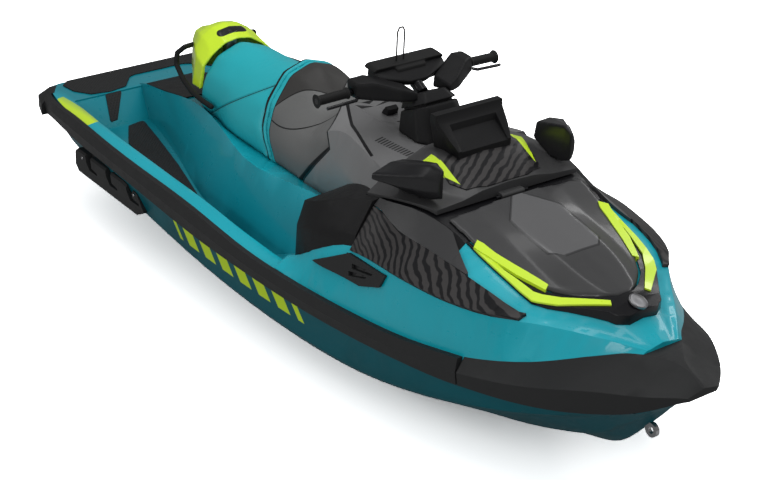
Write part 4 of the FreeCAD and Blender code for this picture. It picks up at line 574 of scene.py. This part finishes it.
# Cowl with a lighter raised middle, edged by a crease
COWL_SIDE, COWL_TIP, COWL_FORE, COWL_AFT = 0.115, 2.835, (-1, 2.91), (0.9, -2.225)
COWL_GREY, COWL_SHARE, COWL_SLOPE, COWL_RISE = (0.085, 0.085, 0.087), 0.85, 0.010, 0.010
x, y, z = places(cowl_plastic)
inward = y.size() * -1
middle = (inward + COWL_SIDE).smaller(inward + line(x, *COWL_FORE)).smaller(
    inward + line(x, *COWL_AFT)).smaller(x * -1 + COWL_TIP)
raised = middle.step(soft=COWL_SLOPE)
paint(cowl_plastic, raised * COWL_SHARE, COWL_GREY)
press(cowl_plastic, raised, -COWL_RISE)

# Console: dark lines along its edges and round the front seat, a painted sheen that lightens its
# flanks, and a ribbed strip
SEAT_GAP, SEAT_GAP_FRONT = (-0.02, 0.017), 1.76
EDGE_AFT, EDGE_FORE, EDGE_HALF = (0.566, -0.8328), (0.3716, -0.4843), 0.006
EDGE_RUN, EDGE_FOOT, LINE_DEPTH = (1.615, 2.035), 0.79, 0.003
FLANK_FRONT, FLANK_FOOT, FLANK_FADE, FLANK_SHEEN_GREY = 2.02, 0.62, 0.25, (0.23, 0.23, 0.233)
RIB_PITCH, RIB_ACROSS, RIB_RUN, RIB_FOOT = 0.016, (0.165, 0.2), (1.95, 2.16), 0.80
FLANK_SHEEN_SHARE, RIB_BLACK = 0.7, (0.012, 0.012, 0.012)
x, y, z = places(grey_plastic)
seat_gap = (x - pommel_line(z)).between(*SEAT_GAP) * x.under(SEAT_GAP_FRONT)
beyond_edge = y.size() - line(x, *EDGE_AFT).smaller(line(x, *EDGE_FORE))
edge_line = (beyond_edge.between(-EDGE_HALF, EDGE_HALF) * x.between(*EDGE_RUN)
             * z.over(EDGE_FOOT))
lines = edge_line.larger(seat_gap)
press(grey_plastic, lines, LINE_DEPTH)
# Painted highlight: the flanks are lightened as if catching a sheen, fading forward and downward
flank_sheen = (beyond_edge.over(EDGE_HALF) * x.under(FLANK_FRONT, soft=FLANK_FADE)
         * z.over(FLANK_FOOT, soft=FLANK_FADE))
paint(grey_plastic, flank_sheen * FLANK_SHEEN_SHARE, FLANK_SHEEN_GREY)
paint(grey_plastic, lines, BLACK)
ribbed_strip = y.size().between(*RIB_ACROSS) * x.between(*RIB_RUN) * z.over(RIB_FOOT)
ribbing = (x * (2 * math.pi / RIB_PITCH)).wave().step(soft=0.4) * ribbed_strip
paint(grey_plastic, ribbing, RIB_BLACK)

# Tow hood with a black pill plate on its leaning face
PILL_BAR, PILL_ALONG, PILL_RADIUS, PILL_FOOT = 0.050, 0.712, 0.019, 0.8
x, y, z = places(lime_plastic)
past_bar = (y.size() - PILL_BAR).larger(0.0)
aslant = x - PILL_ALONG
pill = (past_bar * past_bar + aslant * aslant).under(PILL_RADIUS ** 2, soft=0.00004)
paint(lime_plastic, pill * z.over(PILL_FOOT), BLACK, roughness=0.25)

# Side fairings and hood panel with wavy stripes
PANEL_BLACK, STRIPE_BLACK = (0.034, 0.032, 0.032), (0.007, 0.007, 0.008)


def striped(name, across_way, pitch, wander):
    """Dark panel finish with wavy stripes."""
    made = finish_of(name, PANEL_BLACK, 0.42, grain=(600.0, 0.1), metallic=0.1, specular=0.35)
    tree = made.node_tree
    stripes = place_group(tree, STRIPES)
    stripes.inputs["Across"].default_value = across_way
    stripes.inputs["Pitch"].default_value = pitch
    stripes.inputs["Wander"].default_value = wander
    paint(made, Field(tree, stripes.outputs["Mask"]), STRIPE_BLACK)
    return made


fairing_finish = striped("striped_fairing", (0.46, 0.0, 0.88), 0.016, 0.012)
panel_finish = striped("striped_panel", (0.86, 0.50, 0.0), 0.028, 0.016)

# Plain lime patch on each side of the hood and its panel
HOOD_PATCH_SIDE, HOOD_PATCH_SLANT = 0.170, (-0.45, 1.2495)
HOOD_PATCH_RUN, HOOD_PATCH_FOOT = (2.235, 2.43), 0.8
for finish in (panel_finish, hood_plastic):
    x, y, z = places(finish)
    hood_patch = (y.size().over(HOOD_PATCH_SIDE) * y.size().under(line(x, *HOOD_PATCH_SLANT))
                  * x.between(*HOOD_PATCH_RUN) * z.over(HOOD_PATCH_FOOT))
    paint(finish, hood_patch, LIME)

FINISHES = {
    "hull_shell": hull_paint, "deck_body": deck_paint, "rail_port": bumper_plastic,
    "rail_starboard": bumper_plastic, "bow_bumper": bumper_plastic,
    "stern_bumpers": bumper_plastic, "platform_mat": mat_foam, "footwell_mats": mat_foam,
    "step_mats": mat_foam, "rear_deck_mat": black_plastic, "seat_rear": teal_vinyl,
    "seat_front": dark_vinyl, "seat_strap": strap_vinyl, "console_body": grey_plastic,
    "glovebox_lid": grey_plastic, "lid_latch": black_plastic, "hood_lid": hood_plastic,
    "hood_panel": panel_finish, "gauge_pod": black_plastic, "mirror_port": mirror_plastic,
    "mirror_starboard": mirror_plastic, "nose_cowl": cowl_plastic, "nose_surround": gloss_black,
    "side_fairing_port": fairing_finish, "side_fairing_starboard": fairing_finish,
    "fairing_caps": cowl_plastic, "accent_blades": lime_plastic, "side_vents": bumper_plastic,
    "speaker_pods": black_plastic, "steering_column": black_plastic,
    "steering_cover": black_plastic, "handlebar": gloss_black, "grips": rubber,
    "switch_housings": black_plastic, "control_levers": gloss_black, "handlebar_pad": rubber,
    "tether_loop": rubber, "pylon_post": alloy, "pylon_hood": lime_plastic, "tow_pin": steel,
    "spotter_grips": rubber, "engine_block": engine_paint, "impeller": steel,
    "driveshaft": steel, "pump_housing": alloy, "steering_nozzle": alloy,
    "reverse_bucket": black_plastic, "ride_plate": alloy, "intake_grate": alloy,
    "sponsons": bumper_plastic, "bow_eye": steel, "stern_eyes": steel,
}
BODY_OF = {name: member["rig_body"] for name, member in nodes.items()}
for name, finish in FINISHES.items():
    slots = nodes[name].data.materials
    if len(slots):
        slots[0] = finish
    else:
        slots.append(finish)

# Dressed copies of the moulded pieces: merged, rounded at their edges and shaded smoothly
JOIN, FLAT, SHARP, SHARP_SMALL, EDGE_FACES = 0.00003, 0.6, 30.0, 40.0, 2


def place_piece(name, mesh, body, finish):
    """Put a finished mesh in the scene and let it ride on a body."""
    piece = bpy.data.objects.new(name, mesh)
    bpy.context.collection.objects.link(piece)
    mesh.materials.clear()
    mesh.materials.append(finish)
    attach(piece, body)
    return piece


def merged_copy(name, flat=FLAT):
    """Return a bmesh of a node with its doubles merged and its flat faces joined."""
    shape = bmesh.new()
    shape.from_mesh(nodes[name].data)
    bmesh.ops.remove_doubles(shape, verts=shape.verts, dist=JOIN)
    bmesh.ops.dissolve_degenerate(shape, edges=shape.edges, dist=JOIN)
    if flat:
        bmesh.ops.dissolve_limit(shape, angle_limit=math.radians(flat), verts=shape.verts,
                                 edges=shape.edges)
    return shape


def mesh_of(shape, name, sharp=SHARP):
    """Turn a bmesh into a smoothly shaded mesh whose sharp edges stay sharp."""
    mesh = bpy.data.meshes.new(name)
    shape.to_mesh(mesh)
    shape.free()
    mesh.shade_smooth()
    mesh.set_sharp_from_angle(angle=math.radians(sharp))
    return mesh


def dressed(name, width):
    """Stand a rounded, smooth copy in for a moulded node."""
    piece = place_piece(name + "_skin", mesh_of(merged_copy(name), name + "_skin"),
                        BODY_OF[name], FINISHES[name])
    edges = piece.modifiers.new("rounded_edges", "BEVEL")
    edges.width, edges.segments = width, EDGE_FACES
    edges.limit_method, edges.angle_limit = "ANGLE", math.radians(SHARP)
    edges.harden_normals = True
    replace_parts(piece, name)


ROUNDED = {
    "deck_body": 0.004, "console_body": 0.004, "hood_lid": 0.003, "nose_surround": 0.002,
    "bow_bumper": 0.005, "rail_port": 0.004, "rail_starboard": 0.004, "stern_bumpers": 0.004,
    "gauge_pod": 0.005, "speaker_pods": 0.010, "side_fairing_port": 0.002,
    "side_fairing_starboard": 0.002, "fairing_caps": 0.002, "accent_blades": 0.002,
    "side_vents": 0.002, "sponsons": 0.004, "hood_panel": 0.0015, "hull_shell": 0.003,
    "platform_mat": 0.0015, "footwell_mats": 0.0015, "step_mats": 0.0015,
    "rear_deck_mat": 0.0015,
}
for name, width in ROUNDED.items():
    dressed(name, width)

# Cushions: an even skin over each seat, filled out by a little pressure and left soft at its edges
SKIN_SIZE, CUSHION_EASED, ALL_ROUND, HELD_FOOT = 0.007, 30, 4, 0.58
PRESSURE, FILL_FRAMES, SWELL = 4, 20, 0.005


def even_skin(name, skin_size, held, eased):
    """Wrap a node in an even skin of small faces and ease its corners, less where it is held."""
    block = bpy.data.objects.new(name + "_block", mesh_of(merged_copy(name, flat=0), name))
    bpy.context.collection.objects.link(block)
    wrap = block.modifiers.new("wrap", "REMESH")
    wrap.mode, wrap.voxel_size = "VOXEL", skin_size
    wrapped = bpy.data.meshes.new_from_object(
        block.evaluated_get(bpy.context.evaluated_depsgraph_get()))
    bpy.data.objects.remove(block)
    shape = bmesh.new()
    shape.from_mesh(wrapped)
    free = [vert for vert in shape.verts if not held(vert.co + DATUM)]
    ends = [vert for vert in shape.verts
            if held(vert.co + DATUM) and vert.co.z + DATUM.z > HELD_FOOT]
    for ease in range(ALL_ROUND + eased):
        bmesh.ops.smooth_vert(shape, verts=shape.verts if ease < ALL_ROUND else free, factor=0.5,
                              use_axis_x=True, use_axis_y=True, use_axis_z=True)
        if ease >= ALL_ROUND:
            bmesh.ops.smooth_vert(shape, verts=ends, factor=0.5, use_axis_x=False,
                                  use_axis_y=True, use_axis_z=True)
    shape.to_mesh(wrapped)
    shape.free()
    return wrapped


def filled_out(mesh, held):
    """Press the skin outward where it isn't held, no further than the swell."""
    flat = [vert.co.copy() for vert in mesh.vertices]
    cover = bpy.data.objects.new("cover", mesh)
    bpy.context.collection.objects.link(cover)
    kept = cover.vertex_groups.new(name="held")
    kept.add([vert.index for vert in mesh.vertices if held(vert.co + DATUM)], 1.0, "REPLACE")
    cloth = cover.modifiers.new("filling", "CLOTH")
    cloth.settings.vertex_group_mass = "held"
    cloth.settings.use_pressure = True
    cloth.settings.uniform_pressure_force = PRESSURE
    cloth.settings.effector_weights.gravity = 0
    cloth.point_cache.frame_start, cloth.point_cache.frame_end = 1, FILL_FRAMES
    for frame_number in range(1, FILL_FRAMES + 1):
        bpy.context.scene.frame_set(frame_number)
    swollen = bpy.data.meshes.new_from_object(
        cover.evaluated_get(bpy.context.evaluated_depsgraph_get()))
    bpy.context.scene.frame_set(1)
    bpy.data.objects.remove(cover)
    for vert, start in zip(swollen.vertices, flat):
        move = vert.co - start
        if move.length > SWELL:
            vert.co = start + move * (SWELL / move.length)
    return swollen


def seam_place(height):
    """Return how far along the slanting seam between the seats lies at a height."""
    return max(line(height, *side) for side in SEAM)


def pommel_place(height):
    """Return how far along the front seat's nose lies at a height."""
    return min(line(height, *side) for side in POMMEL)


# The cushions are held at their feet and where they meet the hood, the strap and the console
HELD_BASE, HELD_BACK, HELD_SEAM, HELD_STRAP, HELD_POMMEL = 0.57, 0.81, 0.03, 0.05, 0.03
CUSHION_HELD = {
    "seat_rear": lambda p: (p.z < HELD_BASE or p.x < HELD_BACK or
                            p.x > seam_place(p.z) - HELD_SEAM),
    "seat_front": lambda p: (p.z < HELD_BASE or p.x < seam_place(p.z) + HELD_STRAP or
                             p.x > pommel_place(p.z) - HELD_POMMEL),
}
for name, held in CUSHION_HELD.items():
    skin = even_skin(name, SKIN_SIZE, held, CUSHION_EASED)
    skin = filled_out(skin, held)
    skin.name = name + "_cushion"
    skin.shade_smooth()
    cushion = place_piece(name + "_cushion", skin, BODY_OF[name], FINISHES[name])
    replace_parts(cushion, name)

# Strap between the cushions: a band of the front cushion's own cover, moved aft and thickened
BAND_FORE, BAND_AFT, BAND_MOVE = 0.056, 0.033, 0.032
BAND_THICKNESS, BAND_OFFSET = 0.022, -0.9
shape = bmesh.new()
shape.from_mesh(bpy.data.objects["seat_front_cushion"].data)
for vert in shape.verts:
    vert.co.x -= seam_place(vert.co.z + DATUM.z) - DATUM.x
for edge_along, facing in ((BAND_FORE, 1), (BAND_AFT, -1)):
    everything = list(shape.verts) + list(shape.edges) + list(shape.faces)
    bmesh.ops.bisect_plane(shape, geom=everything, plane_co=(edge_along, 0, 0),
                           plane_no=(facing, 0, 0), clear_outer=True)
for vert in shape.verts:
    vert.co.x += seam_place(vert.co.z + DATUM.z) - DATUM.x - BAND_MOVE
strap = place_piece("seat_strap_band", mesh_of(shape, "seat_strap_band"), BODY_OF["seat_strap"],
                    strap_vinyl)
wall = strap.modifiers.new("band_wall", "SOLIDIFY")
wall.thickness, wall.offset = BAND_THICKNESS, BAND_OFFSET
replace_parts(strap, "seat_strap")

# Moulded pieces whose corners are too soft for a bevel: the size of their skin and its easing
EASED = {"nose_cowl": (0.006, 3), "mirror_port": (0.004, 5), "mirror_starboard": (0.004, 5),
         "pylon_hood": (0.004, 4), "steering_cover": (0.004, 7), "steering_column": (0.004, 9),
         "switch_housings": (0.004, 9), "handlebar_pad": (0.004, 4),
         "spotter_grips": (0.004, 6)}
for name, (skin_size, eased) in EASED.items():
    moulding = even_skin(name, skin_size, lambda p: False, eased)
    moulding.name = name + "_moulding"
    moulding.shade_smooth()
    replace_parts(place_piece(name + "_moulding", moulding, BODY_OF[name], FINISHES[name]), name)


# Small turned pieces, and the faces that they stand on
def turned(name, profile, place, facing, body, finish, steps):
    """Turn a profile of radii and heights about an axis and stand it on a place."""
    shape = bmesh.new()
    verts = [shape.verts.new((radius, 0, height)) for radius, height in profile]
    edges = [shape.edges.new(pair) for pair in zip(verts, verts[1:])]
    bmesh.ops.spin(shape, geom=verts + edges, cent=(0, 0, 0), axis=(0, 0, 1),
                   angle=2 * math.pi, steps=steps, use_merge=True)
    bmesh.ops.remove_doubles(shape, verts=shape.verts, dist=0.00001)
    bmesh.ops.recalc_face_normals(shape, faces=shape.faces)
    lean = Vector((0, 0, 1)).rotation_difference(Vector(facing).normalized())
    bmesh.ops.transform(shape, verts=shape.verts,
                        matrix=Matrix.Translation(place) @ lean.to_matrix().to_4x4())
    place_piece(name, mesh_of(shape, name, SHARP_SMALL), body, finish)


def surface_hit(name, start, way):
    """Return where a ray first meets a node and which way the face looks, or nothing."""
    shape = bmesh.new()
    shape.from_mesh(nodes[name].data)
    tree = BVHTree.FromBMesh(shape)
    shape.free()
    place, facing = tree.ray_cast(start, Vector(way).normalized())[:2]
    return (place, facing) if place else None


def raised_verts(shape, faces):
    """Extrude faces and return the corners that are free to rise."""
    lifted = bmesh.ops.extrude_face_region(shape, geom=faces)["geom"]
    return [part for part in lifted if isinstance(part, bmesh.types.BMVert)]


# Rubber seal under the steering cover, in its outline at a share of its size
SEAL_OUTLINE = ((-52, 50), (-36, 84), (58, 100), (86, 62), (86, -62), (58, -100), (-36, -84),
                (-52, -50))
SEAL_PLACE, SEAL_LEAN = at(1982.25, 0, 968.06), -25
SEAL_SHARE, SEAL_CLEAR, SEAL_HEIGHT = 0.86, 0.0004, 0.0052
shape = bmesh.new()
seal_face = shape.faces.new([
    shape.verts.new((along * SEAL_SHARE / 1000, aside * SEAL_SHARE / 1000, SEAL_CLEAR))
    for along, aside in SEAL_OUTLINE])
bmesh.ops.translate(shape, verts=raised_verts(shape, [seal_face]), vec=(0, 0, SEAL_HEIGHT))
bmesh.ops.recalc_face_normals(shape, faces=shape.faces)
lean = Matrix.Rotation(math.radians(SEAL_LEAN), 4, "Y")
bmesh.ops.transform(shape, verts=shape.verts, matrix=Matrix.Translation(SEAL_PLACE) @ lean)
place_piece("steering_seal", mesh_of(shape, "steering_seal"), BODY_OF["steering_cover"], rubber)

# Plain metal disc at the nose, with a raised ring round its rim
DISC_PROFILE = ((0, -0.003), (0.034, -0.003), (0.034, 0.003), (0.031, 0.0045), (0.028, 0.003),
                (0.026, 0.0026), (0.010, 0.0034), (0, 0.0036))
DISC_FROM, DISC_WAY = at(3200, 0, 810), (-0.75, 0, -1)
hit = surface_hit("nose_surround", DISC_FROM, DISC_WAY)
if hit:
    turned("nose_disc", DISC_PROFILE, *hit, BODY_OF["nose_surround"], disc_metal, steps=40)

# Mirrors' glass, by its corners across and up in millimetres
GLASS_ALONG, GLASS_OUTLINE = 2245, ((294, 874), (303, 927), (360, 931), (431, 909), (434, 892),
                                    (380, 877))
GLASS_EDGE, GLASS_SUNK, GLASS_THICKNESS = 0.003, 0.0015, 0.0012
for label, side in (("port", 1), ("starboard", -1)):
    shape = bmesh.new()
    pane = shape.faces.new([shape.verts.new(at(GLASS_ALONG, side * aside, height))
                            for aside, height in GLASS_OUTLINE])
    bmesh.ops.recalc_face_normals(shape, faces=shape.faces)
    if pane.normal.x > 0:
        bmesh.ops.reverse_faces(shape, faces=shape.faces)
    bmesh.ops.inset_region(shape, faces=list(shape.faces), thickness=GLASS_EDGE, depth=GLASS_SUNK)
    bmesh.ops.solidify(shape, geom=list(shape.faces), thickness=GLASS_THICKNESS)
    bmesh.ops.recalc_face_normals(shape, faces=shape.faces)
    glass = "mirror_glass_" + label
    place_piece(glass, mesh_of(shape, glass, SHARP_SMALL), BODY_OF["mirror_" + label],
                mirror_glass)

# Shroud that closes the space between the handlebar's pad and its two switch housings: at each
# place across, its corners along and up from the column's foot, in millimetres
SHROUD_ALONG, SHROUD_FOOT, SHROUD_FLAT, SHROUD_ROUND = 2000, 930, 1.0, 0.006
SHROUD_SECTIONS = (
    (40, ((-172, 122), (-150, 104), (-72, 100), (-58, 122), (-110, 150), (-168, 152))),
    (152, ((-170, 128), (-150, 122), (-112, 122), (-98, 140), (-122, 158), (-168, 160))),
)
shape = bmesh.new()
for side in (-1, 1):
    for aside, section in SHROUD_SECTIONS:
        for along, height in section:
            shape.verts.new(at(SHROUD_ALONG + along, side * aside, SHROUD_FOOT + height))
bmesh.ops.convex_hull(shape, input=list(shape.verts))
bmesh.ops.dissolve_limit(shape, angle_limit=math.radians(SHROUD_FLAT), verts=list(shape.verts),
                         edges=list(shape.edges))
bmesh.ops.bevel(shape, geom=list(shape.edges), offset=SHROUD_ROUND, affect="EDGES", segments=3,
                profile=0.5, material=-1)
bmesh.ops.recalc_face_normals(shape, faces=shape.faces)
place_piece("bar_shroud", mesh_of(shape, "bar_shroud"), BODY_OF["handlebar"], black_plastic)

# Domed bolts with a round driver's recess, on the sponsons and the ride plate: the profile is in
# shares of the radius, and the rows in shares of the piece's length
BOLT_RADIUS, BOLT_SUNK, BOLT_STEPS = 0.006, 0.002, 20
BOLT_PROFILE = ((1, 0.25), (0.8, 0.5), (0.48, 0.58), (0.42, 0.2), (0, 0.2))
BOLT_ROWS = (0.12, 0.5, 0.88)
SPONSON_BOLT_SIDE, SPONSON_BOLT_RISE = 0.9, 0.030
PLATE_BOLT_INSET, PLATE_BOLT_BELOW = 0.016, 0.3


def bolt(name, node_name, start, way):
    """Stand a bolt on a node where a ray meets it, or none where the ray finds no face."""
    profile = [(0, -BOLT_SUNK), (BOLT_RADIUS, -BOLT_SUNK)]
    profile += [(BOLT_RADIUS * out, BOLT_RADIUS * up) for out, up in BOLT_PROFILE]
    hit = surface_hit(node_name, start, way)
    if hit:
        turned(name, profile, *hit, BODY_OF[node_name], steel, steps=BOLT_STEPS)


for label, side in (("port", 1), ("starboard", -1)):
    low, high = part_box("sponsons")
    for number, share in enumerate(BOLT_ROWS):
        start = Vector((low[0] + (high[0] - low[0]) * share, side * SPONSON_BOLT_SIDE,
                        (low[2] + high[2]) / 2 + SPONSON_BOLT_RISE))
        bolt("sponson_bolt_%s_%d" % (label, number), "sponsons", start, (0, -side, 0))
    low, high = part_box("ride_plate")
    for number, share in enumerate(BOLT_ROWS):
        start = Vector((low[0] + (high[0] - low[0]) * share,
                        side * (high[1] - PLATE_BOLT_INSET), low[2] - PLATE_BOLT_BELOW))
        bolt("plate_bolt_%s_%d" % (label, number), "ride_plate", start, (0, 0, 1))

# Gauge screen on the rider's side of its pod: a rounded bezel round a sheet of dark glass, each by
# its half width, half height and thickness
GAUGE_PLACE, GAUGE_CORNER, GAUGE_ROUND = at(2195.5, 0, 968), 0.014, 0.0012
GAUGE_TURN = Matrix(((0, 0, -1), (-1, 0, 0), (0, 1, 0))).to_4x4()
GAUGE_SHEETS = (("gauge_bezel", (0.094, 0.052), 0.0035, gloss_black),
                ("gauge_screen", (0.082, 0.042), 0.0045, screen_glass))
for name, halves, thickness, finish in GAUGE_SHEETS:
    shape = bmesh.new()
    bmesh.ops.create_grid(shape, x_segments=1, y_segments=1, size=1)
    bmesh.ops.scale(shape, verts=shape.verts, vec=(*halves, 1))
    bmesh.ops.bevel(shape, geom=list(shape.verts), offset=GAUGE_CORNER, affect="VERTICES",
                    segments=5, profile=0.5, material=-1)
    bmesh.ops.translate(shape, verts=raised_verts(shape, list(shape.faces)),
                        vec=(0, 0, thickness))
    rim = [edge for edge in shape.edges if all(vert.co.z > thickness / 2 for vert in edge.verts)]
    bmesh.ops.bevel(shape, geom=rim, offset=GAUGE_ROUND, affect="EDGES", segments=2, profile=0.5,
                    material=-1)
    bmesh.ops.recalc_face_normals(shape, faces=shape.faces)
    bmesh.ops.transform(shape, verts=shape.verts,
                        matrix=Matrix.Translation(GAUGE_PLACE) @ GAUGE_TURN)
    place_piece(name, mesh_of(shape, name, SHARP_SMALL), BODY_OF["gauge_pod"], finish)
